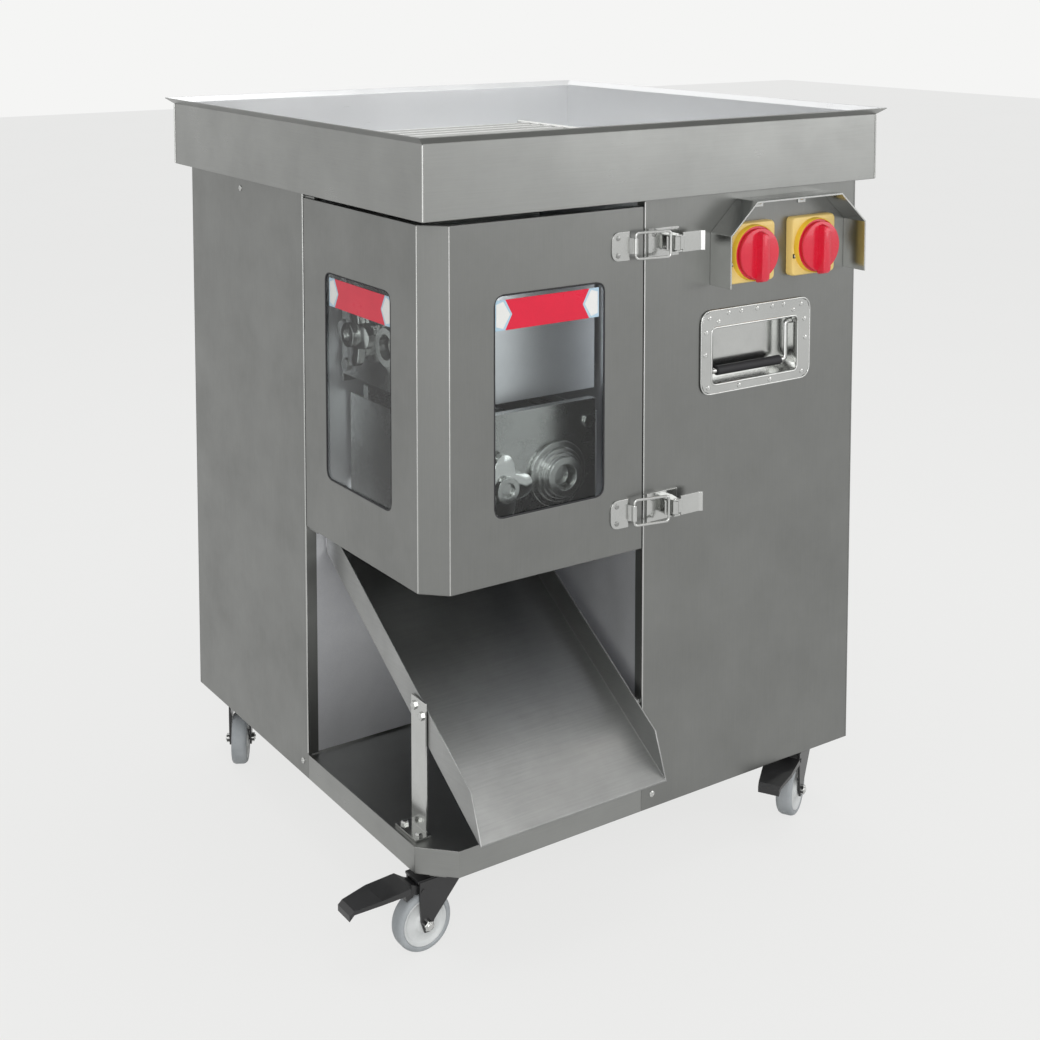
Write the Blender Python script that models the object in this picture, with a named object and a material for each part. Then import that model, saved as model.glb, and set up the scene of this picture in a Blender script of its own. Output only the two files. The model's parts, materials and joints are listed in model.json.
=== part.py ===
"""Meat strip cutter on casters: a stainless cabinet with a hopper tray, two interleaved
cutter groups behind an L-shaped guard door, a discharge chute and two gear motors."""

import math

import bmesh
import bpy
from mathutils import Vector

# All lengths are metres. Machine coordinates: x from the left face, y from the front
# face, z from the underside of the base. The machine empty moves them to the origin.

# Cabinet
BODY_WIDTH = 0.690
BODY_DEPTH = 0.686
BASE_HEIGHT = 0.033
BASE_FLOOR_DROP = 0.002
BASE_DECK = 0.003
BASE_CHAMFER = 0.039
SHEET = 0.002
GAP = 0.0003
CHAMBER_X = 0.3175
CHAMBER_Y = 0.320
SEAM_RETURN = 0.015
POST = 0.030
RAIL = 0.020
GUSSET = 0.100

# Rear panel: vent slots and cable gland, as places in x and height
VENT_COLUMNS = (0.12, 0.42)
VENT_LENGTH = 0.15
VENT_LOW = 0.16
VENT_ROWS = 8
VENT_RISE = 0.020
VENT_SLOT = 0.006
GLAND_PLACE = (0.34, 0.09)
GLAND_HOLE = 0.0105

# Hopper tray
TRAY_BOTTOM = 0.8015
TRAY_RIM = 0.900
TRAY_OVERHANG = 0.0185
TRAY_LIP = 0.0105
TRAY_LIP_RISE = 0.009
THROAT_X = (0.085, 0.252)
THROAT_CLEAR = 0.006

# Feed grid over the throat
GRID_X = (0.050, 0.362)
GRID_Y = (0.070, 0.345)
GRID_TOP = 0.874
GRID_WIRE = 0.004
GRID_BARS = 9

# Guard door
DOOR_BOTTOM = 0.3506
DOOR_TOP_GAP = 0.010
DOOR_CHAMFER = 0.028
DOOR_FLANGE = 0.014
DOOR_SEAM = 0.002
HINGE_X = 0.008
HINGE_SETBACK = 0.024
HINGE_PIN = 0.003
HINGE_BUSH = 0.0052
HINGE_BUSH_HIGH = 0.012
HINGE_BRACKET = 0.003
RUNNING = 0.0005

# Windows: low and high corners along the face and in height
FRONT_WINDOW = ((0.0900, 0.4300), (0.2555, 0.7030))
SIDE_WINDOW = ((0.0890, 0.4310), (0.2592, 0.7030))
WINDOW_RADIUS = 0.013
WINDOW_LAP = 0.008
WINDOW_PANE = 0.004

# Toggle latches across the front seam
LATCH_HEIGHTS = {"upper": 0.744, "lower": 0.402}
KEEPER_X = (0.2645, 0.2925)
KEEPER_HALF = 0.0185
KNUCKLE = (0.2975, -0.0075)
KNUCKLE_HALF = 0.0105
KNUCKLE_RADIUS = 0.0037
BAIL_BAR = (0.3460, -0.0172)
BAIL_HALF = 0.0165
BAIL_WIRE = 0.0016
LEVER_PIVOT = (0.3555, -0.0185)
LEVER_HALF = 0.0085
LEVER_PIN = 0.0020
LEVER_HUB = 0.0046
LEVER_NECK = 0.0110
LEVER_LENGTH = 0.0445
LEVER_WIDE = 0.0125
HOOK_IN = 0.0119
HOOK_OUT = 0.0142
EAR = 0.0017
LATCH_PLATE = 0.0015
LATCH_BASE_X = (0.3225, 0.3720)

# Switches and their guard
SWITCH_X = (BODY_WIDTH - 0.2005, BODY_WIDTH - 0.0895)
SWITCH_Z = 0.7185
SWITCH_PLATE = 0.080
SWITCH_PLATE_DEEP = 0.012
SWITCH_CORNER = 0.006
SWITCH_COLLAR = 0.0375
SWITCH_COLLAR_DEEP = 0.008
SWITCH_SPINDLE = 0.004
KNOB_RADIUS = 0.0340
KNOB_DISC = 0.0060
KNOB_GRIP = 0.0120
GRIP_HALF = 0.0075
GRIP_TAIL = 0.004
SWITCH_BODY = 0.060
SWITCH_BODY_DEEP = 0.045
GUARD_X = (BODY_WIDTH - 0.2638, BODY_WIDTH - 0.0200)
GUARD_Z = (0.6800, 0.7487, 0.7900)
GUARD_SLANT = 0.0453
GUARD_DEEP = 0.040
GUARD_TAB = 0.014
GUARD_TAB_THICK = 0.0015
GUARD_TABS = (BODY_WIDTH - 0.1800, BODY_WIDTH - 0.1030)

# Recessed carrying handle
PAN_X = (BODY_WIDTH - 0.2790, BODY_WIDTH - 0.0855)
PAN_Z = (0.5350, 0.6455)
RECESS_X = (BODY_WIDTH - 0.2615, BODY_WIDTH - 0.1075)
RECESS_Z = (0.5465, 0.6225)
RECESS_DEEP = 0.030
PAN_RADIUS = 0.018
RECESS_RADIUS = 0.009
HANDLE_PIVOT_Y = 0.012
HANDLE_PIVOT_Z = 0.6130
HANDLE_DROP = 0.052
HANDLE_ROD = 0.0035
HANDLE_GRIP = 0.0065
HANDLE_INSET = 0.010

# Discharge chute
CHUTE_X = (0.030, 0.309)
CHUTE_SLOPE = math.radians(32.2)
CHUTE_TOP_Z = 0.3115
CHUTE_BACK = 0.3190
CHUTE_FRONT = -0.062
CHUTE_SIDE = 0.035
CHUTE_TAPER = 0.022
SPACER_Y = (0.0085, 0.250)
STRAP_Y = (0.057, 0.091)
STRAP_THICK = 0.003
STRAP_FOOT = 0.022
STRAP_FLARE = 0.008
STRAP_TOP = 0.198
STRAP_BOLTS = ((0.083, 0.187), (0.066, 0.179))
BOLT_HEAD = 0.0055
BOLT_HEAD_HIGH = 0.004

# Cutter groups: u runs along the shafts, from the outer face inwards
SHAFT_SPACING = 0.090
UPPER_SHAFT = (0.163, 0.617)
LOWER_SHAFT = (0.220, 0.452)
BLADE_RADIUS = 0.050
BLADE_THICK = 0.002
BLADE_PITCH = 0.018
BLADE_COUNT = 9
BLADE_SHEAR_GAP = 0.0004
SPACER_RADIUS = 0.022
SHAFT_RADIUS = 0.012
SHAFT_NOSE = 0.045
END_PLATE_U = (0.055, 0.270)
END_PLATE = 0.012
END_PLATE_W = (-0.066, 0.088)
SIDE_MARGIN = 0.062
COVER_W = (-0.077, 0.071)
COVER_END = 0.007
TIE_ROD = 0.006
TIE_NUT = 0.009
TIE_ROD_W = (-0.052, 0.060)
TIE_ROD_INSET = 0.011
COMB_DROP = 0.012
COMB_THICK = 0.005
COMB_GAP = 0.001
HUB_STEPS = ((0.006, 0.042), (0.005, 0.034), (0.004, 0.029), (0.006, 0.025))
HUB_BORE = 0.0165
BOSS_RADIUS = 0.033
BOSS_DEEP = 0.008
STAR_LOBES = 4
STAR_TIP = 0.042
STAR_WAIST = 0.023
STAR_THICK = 0.010
STAR_RING = 0.016
STAR_RING_DEEP = 0.008

# Drive
GEAR_TEETH = 18
PRESSURE = math.radians(20)
BACKLASH = 0.0008
TIP_HEIGHT = 0.8
ROOT_DEPTH = 1.0
GEAR_WIDTH = 0.015
GEAR_WALL_CLEAR = 0.014
GEARBOX_U = 0.100
GEARBOX_MARGIN = 0.058
GEARBOX_W = (-0.065, 0.065)
GEARBOX_WALL = 0.006
MOTOR_RADIUS = 0.060
MOTOR_LENGTH = 0.250

# Casters
CASTER_INSET = 0.048
CASTER_PLATE = 0.066
CASTER_PLATE_THICK = 0.003
CASTER_PLATE_CUT = 0.014
RACE_RADIUS = 0.024
RACE_DEEP = 0.005
KING_PIN = 0.006
FORK_SHEET = 0.003
FORK_INNER = 0.0135
FORK_TRAIL = 0.034
FORK_FRONT = 0.047
FORK_FOOT = 0.009
AXLE_DROP = 0.066
AXLE = 0.004
WHEEL_RADIUS = 0.0375
WHEEL_HALF = 0.0120
WHEEL_ROUND = 20
PEDAL_REACH = 0.140
PEDAL_PIVOT = (0.040, -0.0215)
PEDAL_PIN = 0.0028
PEDAL_HALF = 0.021
CASTER_ANGLES = {"front_left": 180, "front_right": 210, "rear_left": 240, "rear_right": 300}
BRAKED = ("front_left", "front_right")

ROUND = 14
BLADE_ROUND = 14
SMALL_ROUND = 8

WALL_X = CHAMBER_X + SHEET + GAP
WALL_Y = CHAMBER_Y + SHEET + GAP
BASE_FLOOR = BASE_HEIGHT - BASE_FLOOR_DROP
DOOR_TOP = TRAY_BOTTOM - DOOR_TOP_GAP
HINGE = (HINGE_X, CHAMBER_Y - HINGE_SETBACK)
LEFT_REACH = CASTER_INSET - PEDAL_REACH
RIGHT_REACH = BODY_WIDTH + TRAY_OVERHANG + TRAY_LIP
REAR_REACH = BODY_DEPTH + TRAY_OVERHANG + TRAY_LIP
FLOOR = AXLE_DROP + WHEEL_RADIUS
ORIGIN = Vector((-(LEFT_REACH + RIGHT_REACH) / 2, -(CHUTE_FRONT + REAR_REACH) / 2, FLOOR))

PANE_ALPHA = 0.35
PLATE_LOW = -CASTER_PLATE_THICK
RACE_LOW = PLATE_LOW - RACE_DEEP
CROWN_HIGH = RACE_LOW - RUNNING
CROWN_LOW = CROWN_HIGH - FORK_SHEET

FINISHES = {
    "brushed_steel": ((0.50, 0.50, 0.48), 0.34, 1.0),
    "bright_steel": ((0.72, 0.72, 0.72), 0.20, 1.0),
    "cast_iron": ((0.16, 0.19, 0.20), 0.60, 0.0),
    "black_paint": ((0.02, 0.02, 0.02), 0.45, 0.0),
    "grey_wheel": ((0.52, 0.54, 0.55), 0.55, 0.0),
    "yellow_plastic": ((0.86, 0.62, 0.18), 0.45, 0.0),
    "red_plastic": ((0.72, 0.01, 0.04), 0.30, 0.0),
    "clear_pane": ((0.85, 0.88, 0.90), 0.05, 0.0),
}


def clear_scene():
    """Remove every object that the file opened with."""
    for old in list(bpy.data.objects):
        bpy.data.objects.remove(old)


def finish(owner, look):
    """Return a Principled material of its own for one piece."""
    colour, roughness, metallic = FINISHES[look]
    made = bpy.data.materials.new(f"{owner}_{look}")
    made.use_nodes = True
    shader = made.node_tree.nodes["Principled BSDF"]
    shader.inputs["Base Color"].default_value = (*colour, 1.0)
    shader.inputs["Roughness"].default_value = roughness
    shader.inputs["Metallic"].default_value = metallic
    if look == "clear_pane":
        shader.inputs["Alpha"].default_value = PANE_ALPHA
    return made


def empty(name, parent, location, turn=0.0):
    """Add an empty that carries a group of pieces, turned about the vertical."""
    made = bpy.data.objects.new(name, None)
    bpy.context.scene.collection.objects.link(made)
    made.parent = parent
    made.location = location
    made.rotation_euler = (0.0, 0.0, turn)
    return made


def add(name, shape, parent, look, location=(0, 0, 0), rotation=(0, 0, 0)):
    """Turn a bmesh into an object with outward faces and smooth rounds."""
    bmesh.ops.recalc_face_normals(shape, faces=shape.faces)
    mesh = bpy.data.meshes.new(name)
    shape.to_mesh(mesh)
    shape.free()
    mesh.shade_smooth()
    mesh.set_sharp_from_angle(angle=math.radians(32))
    mesh.materials.append(finish(name, look))
    made = bpy.data.objects.new(name, mesh)
    bpy.context.scene.collection.objects.link(made)
    made.parent = parent
    made.location = location
    made.rotation_euler = rotation
    return made


def tool(piece, shape, operation):
    """Fuse a shape to a piece or cut it out, in the piece's own coordinates."""
    name = f"{piece.name}_{operation.lower()}_{len(piece.modifiers)}"
    helper = add(name, shape, piece.parent, "brushed_steel", piece.location, piece.rotation_euler)
    helper.hide_render = True
    helper.display_type = "WIRE"
    change = piece.modifiers.new(name, "BOOLEAN")
    change.operation = operation
    change.solver = "EXACT"
    change.object = helper


def loft(rings, closed=False, into=None):
    """Skin a row of equal rings of points, capped at both ends or closed on itself."""
    shape = into or bmesh.new()
    rows = [[shape.verts.new(point) for point in ring] for ring in rings]
    pairs = list(zip(rows, rows[1:]))
    if closed:
        pairs.append((rows[-1], rows[0]))
    for low, high in pairs:
        for index in range(len(low)):
            after = (index + 1) % len(low)
            shape.faces.new((low[index], low[after], high[after], high[index]))
    if not closed:
        shape.faces.new(rows[0])
        shape.faces.new(rows[-1])
    return shape


def on_axis(axis, first, second, along):
    """Place a plane point and a distance along the axis in space."""
    if axis == "X":
        return (along, first, second)
    if axis == "Y":
        return (first, along, second)
    return (first, second, along)


def prism(outline, axis, low, high, into=None):
    """Extrude an outline, given in the two other axes, from low to high."""
    ends = [[on_axis(axis, *point, along) for point in outline] for along in (low, high)]
    return loft(ends, into=into)


def rectangle(low, high):
    """Return a rectangle's corners from its low and high corner."""
    return [(low[0], low[1]), (high[0], low[1]), (high[0], high[1]), (low[0], high[1])]


def box(low, high, into=None):
    """Make a box between two corners."""
    return prism(rectangle(low[:2], high[:2]), "Z", low[2], high[2], into)


def circle(radius, sides=ROUND, centre=(0.0, 0.0), phase=0.0):
    """Return the corners of a regular polygon on a circle."""
    angles = [2 * math.pi * (step + phase) / sides for step in range(sides)]
    return [(centre[0] + radius * math.cos(a), centre[1] + radius * math.sin(a)) for a in angles]


def rounded(low, high, radius, steps=3):
    """Return a rectangle with round corners."""
    points = []
    corners = [(high[0], high[1], 0), (low[0], high[1], 90), (low[0], low[1], 180), (high[0], low[1], 270)]
    for x, y, start in corners:
        centre_x = x + (radius if x == low[0] else -radius)
        centre_y = y + (radius if y == low[1] else -radius)
        for step in range(steps):
            angle = math.radians(start + 90 * step / (steps - 1))
            points.append((centre_x + radius * math.cos(angle), centre_y + radius * math.sin(angle)))
    return points


def grown(low, high, amount):
    """Move a rectangle's corners out by an amount, or in if it is negative."""
    return (low[0] - amount, low[1] - amount), (high[0] + amount, high[1] + amount)


def turned(profile, axis="X", sides=ROUND, centre=(0.0, 0.0), closed=False, into=None, phase=0.0):
    """Revolve a profile of (along, radius) pairs about an axis."""
    rings = []
    for along, radius in profile:
        rings.append([on_axis(axis, *point, along) for point in circle(radius, sides, centre, phase)])
    return loft(rings, closed, into)


def hexagon_bolt(head, axis, centre, seat, side, into, high=BOLT_HEAD_HIGH):
    """Add a low domed head welded to a face, on the side it points to."""
    profile = [
        (seat - side * SHEET / 2, head),
        (seat + side * high * 0.6, head),
        (seat + side * high, head * 0.6),
    ]
    return turned(profile, axis, 6, centre, into=into)


def mitres(path, closed=False):
    """Return each path point's inward mitre vector, to the left of its travel."""
    result = []
    count = len(path)
    for index, point in enumerate(path):
        before = path[index - 1] if index or closed else None
        after = path[(index + 1) % count] if index < count - 1 or closed else None
        sides = []
        for start, end in ((before, point), (point, after)):
            if start is not None and end is not None:
                run = (Vector(end) - Vector(start)).normalized()
                sides.append(Vector((-run.y, run.x)))
        total = sum(sides, Vector((0.0, 0.0))).normalized()
        result.append(total / total.dot(sides[0]))
    return result


def swept(path, section, axis, closed=False, into=None):
    """Sweep a section of (offset, along) points down a plane path with mitred corners."""
    rings = []
    for point, mitre in zip([Vector(p) for p in path], mitres(path, closed)):
        ring = []
        for offset, along in section:
            spot = point + mitre * offset
            ring.append(on_axis(axis, spot.x, spot.y, along))
        rings.append(ring)
    return loft(rings, closed, into)


def wire(path, axis, level, radius, sides=6, closed=False, into=None):
    """Bend a round wire along a plane path at one level of the axis."""
    section = [(x, level + y) for x, y in circle(radius, sides)]
    return swept(path, section, axis, closed, into)


def base_outline(inset):
    """Return the base's plan: chamfered at the open corner, let in under the panels."""
    skin = SHEET + GAP
    path = [
        (0.0, BASE_CHAMFER),
        (BASE_CHAMFER, 0.0),
        (CHAMBER_X - GAP, 0.0),
        (CHAMBER_X - GAP, skin),
        (BODY_WIDTH - skin, skin),
        (BODY_WIDTH - skin, BODY_DEPTH - skin),
        (skin, BODY_DEPTH - skin),
        (skin, CHAMBER_Y - GAP),
        (0.0, CHAMBER_Y - GAP),
    ]
    moves = mitres(path, closed=True)
    return [tuple(Vector(point) + move * inset) for point, move in zip(path, moves)]


def build_base(machine):
    """Folded base pan with a raised edge and a gusset plate over each caster."""
    levels = [
        (SHEET, BASE_FLOOR),
        (SHEET, BASE_HEIGHT),
        (0.0, BASE_HEIGHT),
        (0.0, 0.0),
        (SHEET, 0.0),
        (SHEET, BASE_FLOOR - BASE_DECK),
    ]
    rings = [[(x, y, height) for x, y in base_outline(inset)] for inset, height in levels]
    pan = add("base_pan", loft(rings), machine, "brushed_steel")
    edge = SHEET / 2
    low = edge + SHEET + GAP
    right = BODY_WIDTH - low
    rear = BODY_DEPTH - low
    cut = BASE_CHAMFER + edge
    open_corner = [(edge, cut), (cut, edge), (GUSSET, edge), (GUSSET, GUSSET), (edge, GUSSET)]
    gussets = bmesh.new()
    prism(open_corner, "Z", 0.0, SHEET, gussets)
    prism(rectangle((right - GUSSET, low), (right, GUSSET)), "Z", 0.0, SHEET, gussets)
    prism(rectangle((low, rear - GUSSET), (GUSSET, rear)), "Z", 0.0, SHEET, gussets)
    prism(rectangle((right - GUSSET, rear - GUSSET), (right, rear)), "Z", 0.0, SHEET, gussets)
    tool(pan, gussets, "UNION")
    build_races(pan)


def build_posts(machine):
    """Four square posts that stand on the base and carry the tray."""
    low = 2 * (SHEET + GAP)
    places = [
        (low, BODY_DEPTH - low - POST),
        (BODY_WIDTH - low - POST, BODY_DEPTH - low - POST),
        (BODY_WIDTH - low - POST, low),
        (WALL_X + SHEET + GAP, WALL_Y + SHEET + GAP),
    ]
    foot = BASE_FLOOR + GAP
    edge = GAP
    uprights = bmesh.new()
    for x, y in places:
        box((x, y, foot), (x + POST, y + POST, TRAY_BOTTOM - GAP), uprights)
    rails = bmesh.new()
    rail_low, rail_high = foot + edge, foot + RAIL
    rear_left, rear_right, front_right, inner = places
    box(
        (rear_left[0] + edge, rear_left[1] + edge, rail_low),
        (rear_right[0] + POST / 2, rear_right[1] + POST - edge, rail_high),
        rails,
    )
    posts = add("frame_posts", uprights, machine, "brushed_steel")
    tool(posts, rails, "UNION")
    side = box(
        (front_right[0] + 2 * edge, front_right[1] + POST / 2, rail_low + edge),
        (front_right[0] + POST - 2 * edge, rear_right[1] + POST / 2, rail_high - edge),
    )
    tool(posts, side, "UNION")
    cross = box(
        (inner[0] + POST / 2, inner[1] + edge, rail_low + 2 * edge),
        (front_right[0] + POST / 2, inner[1] + POST - edge, rail_high - 2 * edge),
    )
    tool(posts, cross, "UNION")


def build_panels(machine):
    """Outer skins of the L-shaped cabinet and the liner of the cutter chamber."""
    top = TRAY_BOTTOM - GAP
    rear = BODY_DEPTH - SHEET - GAP
    left_plan = [
        (0.0, CHAMBER_Y),
        (SEAM_RETURN, CHAMBER_Y),
        (SEAM_RETURN, CHAMBER_Y + SHEET),
        (SHEET, CHAMBER_Y + SHEET),
        (SHEET, rear),
        (0.0, rear),
    ]
    left = add("left_panel", prism(left_plan, "Z", 0.0, top), machine, "brushed_steel")
    over_base = BASE_HEIGHT + GAP
    notch = SEAM_RETURN + SHEET
    tool(left, box((SHEET, CHAMBER_Y - SHEET, -SHEET), (notch, CHAMBER_Y + notch, over_base)), "DIFFERENCE")
    add_hinge_brackets(left)
    right = BODY_WIDTH - SHEET - GAP
    front_plan = [
        (CHAMBER_X, 0.0),
        (right, 0.0),
        (right, SHEET),
        (CHAMBER_X + SHEET, SHEET),
        (CHAMBER_X + SHEET, SEAM_RETURN),
        (CHAMBER_X, SEAM_RETURN),
    ]
    front = add("front_panel", prism(front_plan, "Z", 0.0, top), machine, "brushed_steel")
    tool(front, box((CHAMBER_X - SHEET, SHEET, -SHEET), (CHAMBER_X + notch, notch, over_base)), "DIFFERENCE")
    recess = grown((RECESS_X[0], RECESS_Z[0]), (RECESS_X[1], RECESS_Z[1]), SHEET + 2 * GAP)
    opening = rounded(*recess, RECESS_RADIUS)
    openings = prism(opening, "Y", -SHEET, 2 * SHEET)
    for x in SWITCH_X:
        hole = SWITCH_SPINDLE + 2 * RUNNING
        turned([(-SHEET, hole), (2 * SHEET, hole)], "Y", 12, (x, SWITCH_Z), into=openings)
    tool(front, openings, "DIFFERENCE")
    right_low = (BODY_WIDTH - SHEET, 0.0, 0.0)
    add("right_panel", box(right_low, (BODY_WIDTH, rear, top)), machine, "brushed_steel")
    rear_sheet = add(
        "rear_panel",
        box((0.0, BODY_DEPTH - SHEET, 0.0), (BODY_WIDTH, BODY_DEPTH, top)),
        machine,
        "brushed_steel",
    )
    vents = bmesh.new()
    through = (BODY_DEPTH - 2 * SHEET, BODY_DEPTH + SHEET)
    for column in VENT_COLUMNS:
        for row in range(VENT_ROWS):
            z = VENT_LOW + row * VENT_RISE
            box((column, through[0], z), (column + VENT_LENGTH, through[1], z + VENT_SLOT), vents)
    turned([(y, GLAND_HOLE) for y in through], "Y", 12, GLAND_PLACE, into=vents)
    tool(rear_sheet, vents, "DIFFERENCE")
    gland = [
        (BODY_DEPTH + GAP, 0.0155),
        (BODY_DEPTH + 0.008, 0.0155),
        (BODY_DEPTH + 0.010, 0.013),
        (BODY_DEPTH + 0.020, 0.011),
        (BODY_DEPTH + 0.020, 0.007),
        (BODY_DEPTH - 0.010, 0.007),
        (BODY_DEPTH - 0.010, 0.010),
        (BODY_DEPTH + GAP, 0.010),
    ]
    add("cable_gland", turned(gland, "Y", 12, GLAND_PLACE, closed=True), machine, "black_paint")

    liner_plan = [
        (SHEET + GAP, WALL_Y),
        (WALL_X, WALL_Y),
        (WALL_X, SHEET + GAP),
        (WALL_X + SHEET, SHEET + GAP),
        (WALL_X + SHEET, WALL_Y + SHEET),
        (SHEET + GAP, WALL_Y + SHEET),
    ]
    liner_shape = prism(liner_plan, "Z", over_base, top)
    liner = add("chamber_liner", liner_shape, machine, "brushed_steel")
    holes = bmesh.new()
    hole = SHAFT_RADIUS + 0.002
    for step in (0, 1):
        upper = (UPPER_SHAFT[0] + step * SHAFT_SPACING, UPPER_SHAFT[1])
        turned([(WALL_X - SHEET, hole), (WALL_X + 2 * SHEET, hole)], "X", ROUND, upper, into=holes)
        lower = (LOWER_SHAFT[0] - step * SHAFT_SPACING, LOWER_SHAFT[1])
        turned([(WALL_Y - SHEET, hole), (WALL_Y + 2 * SHEET, hole)], "Y", ROUND, lower, into=holes)
    tool(liner, holes, "DIFFERENCE")


def throat_y():
    """Return the throat's reach across the two upper shafts."""
    margin = SPACER_RADIUS - SHEET
    return UPPER_SHAFT[0] - margin, UPPER_SHAFT[0] + SHAFT_SPACING + margin


def build_tray(machine):
    """Hopper tray with a flared lip and a throat that drops to the upper blades."""
    def plan(out, height):
        low, high = grown((0.0, 0.0), (BODY_WIDTH, BODY_DEPTH), out)
        return [(x, y, height) for x, y in rectangle(low, high)]

    def throat(out, height):
        y_low, y_high = throat_y()
        low, high = grown((THROAT_X[0], y_low), (THROAT_X[1], y_high), out)
        return [(x, y, height) for x, y in rectangle(low, high)]

    lip_start = TRAY_RIM - TRAY_LIP_RISE
    inner = TRAY_OVERHANG - SHEET
    throat_end = UPPER_SHAFT[1] + BLADE_RADIUS + THROAT_CLEAR
    rings = [
        throat(SHEET, TRAY_BOTTOM),
        plan(TRAY_OVERHANG, TRAY_BOTTOM),
        plan(TRAY_OVERHANG, lip_start),
        plan(TRAY_OVERHANG + TRAY_LIP, TRAY_RIM - SHEET / 2),
        plan(TRAY_OVERHANG + TRAY_LIP, TRAY_RIM),
        plan(inner, lip_start + SHEET),
        plan(inner, TRAY_BOTTOM + SHEET),
        throat(0.0, TRAY_BOTTOM + SHEET),
        throat(0.0, throat_end),
        throat(SHEET, throat_end),
    ]
    add("hopper_tray", loft(rings, closed=True), machine, "brushed_steel")


def build_grid(machine):
    """Welded bar guard that stands in the tray over the throat."""
    deck = TRAY_BOTTOM + SHEET + GAP
    level = GRID_TOP - GRID_WIRE
    hoops = bmesh.new()
    for x in GRID_X:
        path = [(GRID_Y[0], deck), (GRID_Y[0], level), (GRID_Y[1], level), (GRID_Y[1], deck)]
        wire(path, "X", x, GRID_WIRE, into=hoops)
    grid = add("feed_grid", hoops, machine, "bright_steel")
    bars = bmesh.new()
    step = (GRID_Y[1] - GRID_Y[0]) / (GRID_BARS + 1)
    for index in range(GRID_BARS):
        y = GRID_Y[0] + (index + 1) * step
        turned([(GRID_X[0], GRID_WIRE * 0.8), (GRID_X[1], GRID_WIRE * 0.8)], "X", 6, (y, level), into=bars)
    tool(grid, bars, "UNION")


def door_path():
    """Return the door's plan line, from the front seam round to the hinge seam."""
    return [
        (CHAMBER_X - DOOR_SEAM, 0.0),
        (DOOR_CHAMFER, 0.0),
        (0.0, DOOR_CHAMFER),
        (0.0, CHAMBER_Y - DOOR_SEAM),
    ]


def build_door(machine):
    """L-shaped guard door with panes, seals, bushes and keepers, on its hinge axis."""
    pivot = empty("door_pivot", machine, (*HINGE, 0.0))
    shift = Vector((-HINGE[0], -HINGE[1], 0.0))
    section = [
        (0.0, DOOR_BOTTOM),
        (0.0, DOOR_TOP),
        (-DOOR_FLANGE, DOOR_TOP),
        (-DOOR_FLANGE, DOOR_TOP - SHEET),
        (-SHEET, DOOR_TOP - SHEET),
        (-SHEET, DOOR_BOTTOM + SHEET),
        (-DOOR_FLANGE, DOOR_BOTTOM + SHEET),
        (-DOOR_FLANGE, DOOR_BOTTOM),
    ]
    door = add("guard_door", swept(door_path(), section, "Z"), pivot, "brushed_steel", shift)
    ends = bmesh.new()
    edge = SHEET / 4
    low, high = DOOR_BOTTOM + edge, DOOR_TOP - edge
    front_end = CHAMBER_X - DOOR_SEAM
    side_end = CHAMBER_Y - DOOR_SEAM
    box((front_end - SHEET, edge, low), (front_end - edge, DOOR_FLANGE - edge, high), ends)
    box((edge, side_end - SHEET, low), (DOOR_FLANGE - edge, side_end - edge, high), ends)
    tool(door, ends, "UNION")
    bushes = bmesh.new()
    for low in (DOOR_BOTTOM + edge, DOOR_TOP - edge - HINGE_BUSH_HIGH):
        turned([(low, HINGE_BUSH), (low + HINGE_BUSH_HIGH, HINGE_BUSH)], "Z", 12, HINGE, into=bushes)
    tool(door, bushes, "UNION")
    cuts = bmesh.new()
    prism(rounded(*FRONT_WINDOW, WINDOW_RADIUS), "Y", -SHEET, 2 * SHEET, cuts)
    prism(rounded(*SIDE_WINDOW, WINDOW_RADIUS), "X", -SHEET, 2 * SHEET, cuts)
    bore = HINGE_PIN + RUNNING
    for level in (DOOR_BOTTOM - SHEET, DOOR_TOP - HINGE_BUSH_HIGH - SHEET):
        turned([(level, bore), (level + HINGE_BUSH_HIGH + 2 * SHEET, bore)], "Z", 12, HINGE, into=cuts)
    tool(door, cuts, "DIFFERENCE")

    for name, window, axis in (("front_window", FRONT_WINDOW, "Y"), ("side_window", SIDE_WINDOW, "X")):
        lapped = rectangle(*grown(*window, WINDOW_LAP))
        pane = prism(lapped, axis, SHEET + GAP, SHEET + GAP + WINDOW_PANE)
        add(name, pane, pivot, "clear_pane", shift)
    build_keepers(pivot, shift)
    return pivot


def build_keepers(pivot, shift):
    """Keeper plates on the door, each with the knuckle that holds a bail."""
    face = -GAP - LATCH_PLATE
    bore = BAIL_WIRE + RUNNING
    inset = SHEET / 4
    for side, z in LATCH_HEIGHTS.items():
        plate = box((KEEPER_X[0], face, z - KEEPER_HALF), (KEEPER_X[1], -GAP, z + KEEPER_HALF))
        keeper = add(f"{side}_keeper", plate, pivot, "bright_steel", shift)
        low, high = z - KNUCKLE_HALF, z + KNUCKLE_HALF
        tool(keeper, turned([(low, KNUCKLE_RADIUS), (high, KNUCKLE_RADIUS)], "Z", 12, KNUCKLE), "UNION")
        web_low = (KEEPER_X[1] - KNUCKLE_RADIUS, KNUCKLE[1] - SHEET / 2, low + inset)
        tool(keeper, box(web_low, (KNUCKLE[0] - SHEET, -GAP - inset, high - inset)), "UNION")
        tool(keeper, turned([(low - SHEET, bore), (high + SHEET, bore)], "Z", 12, KNUCKLE), "DIFFERENCE")


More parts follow.
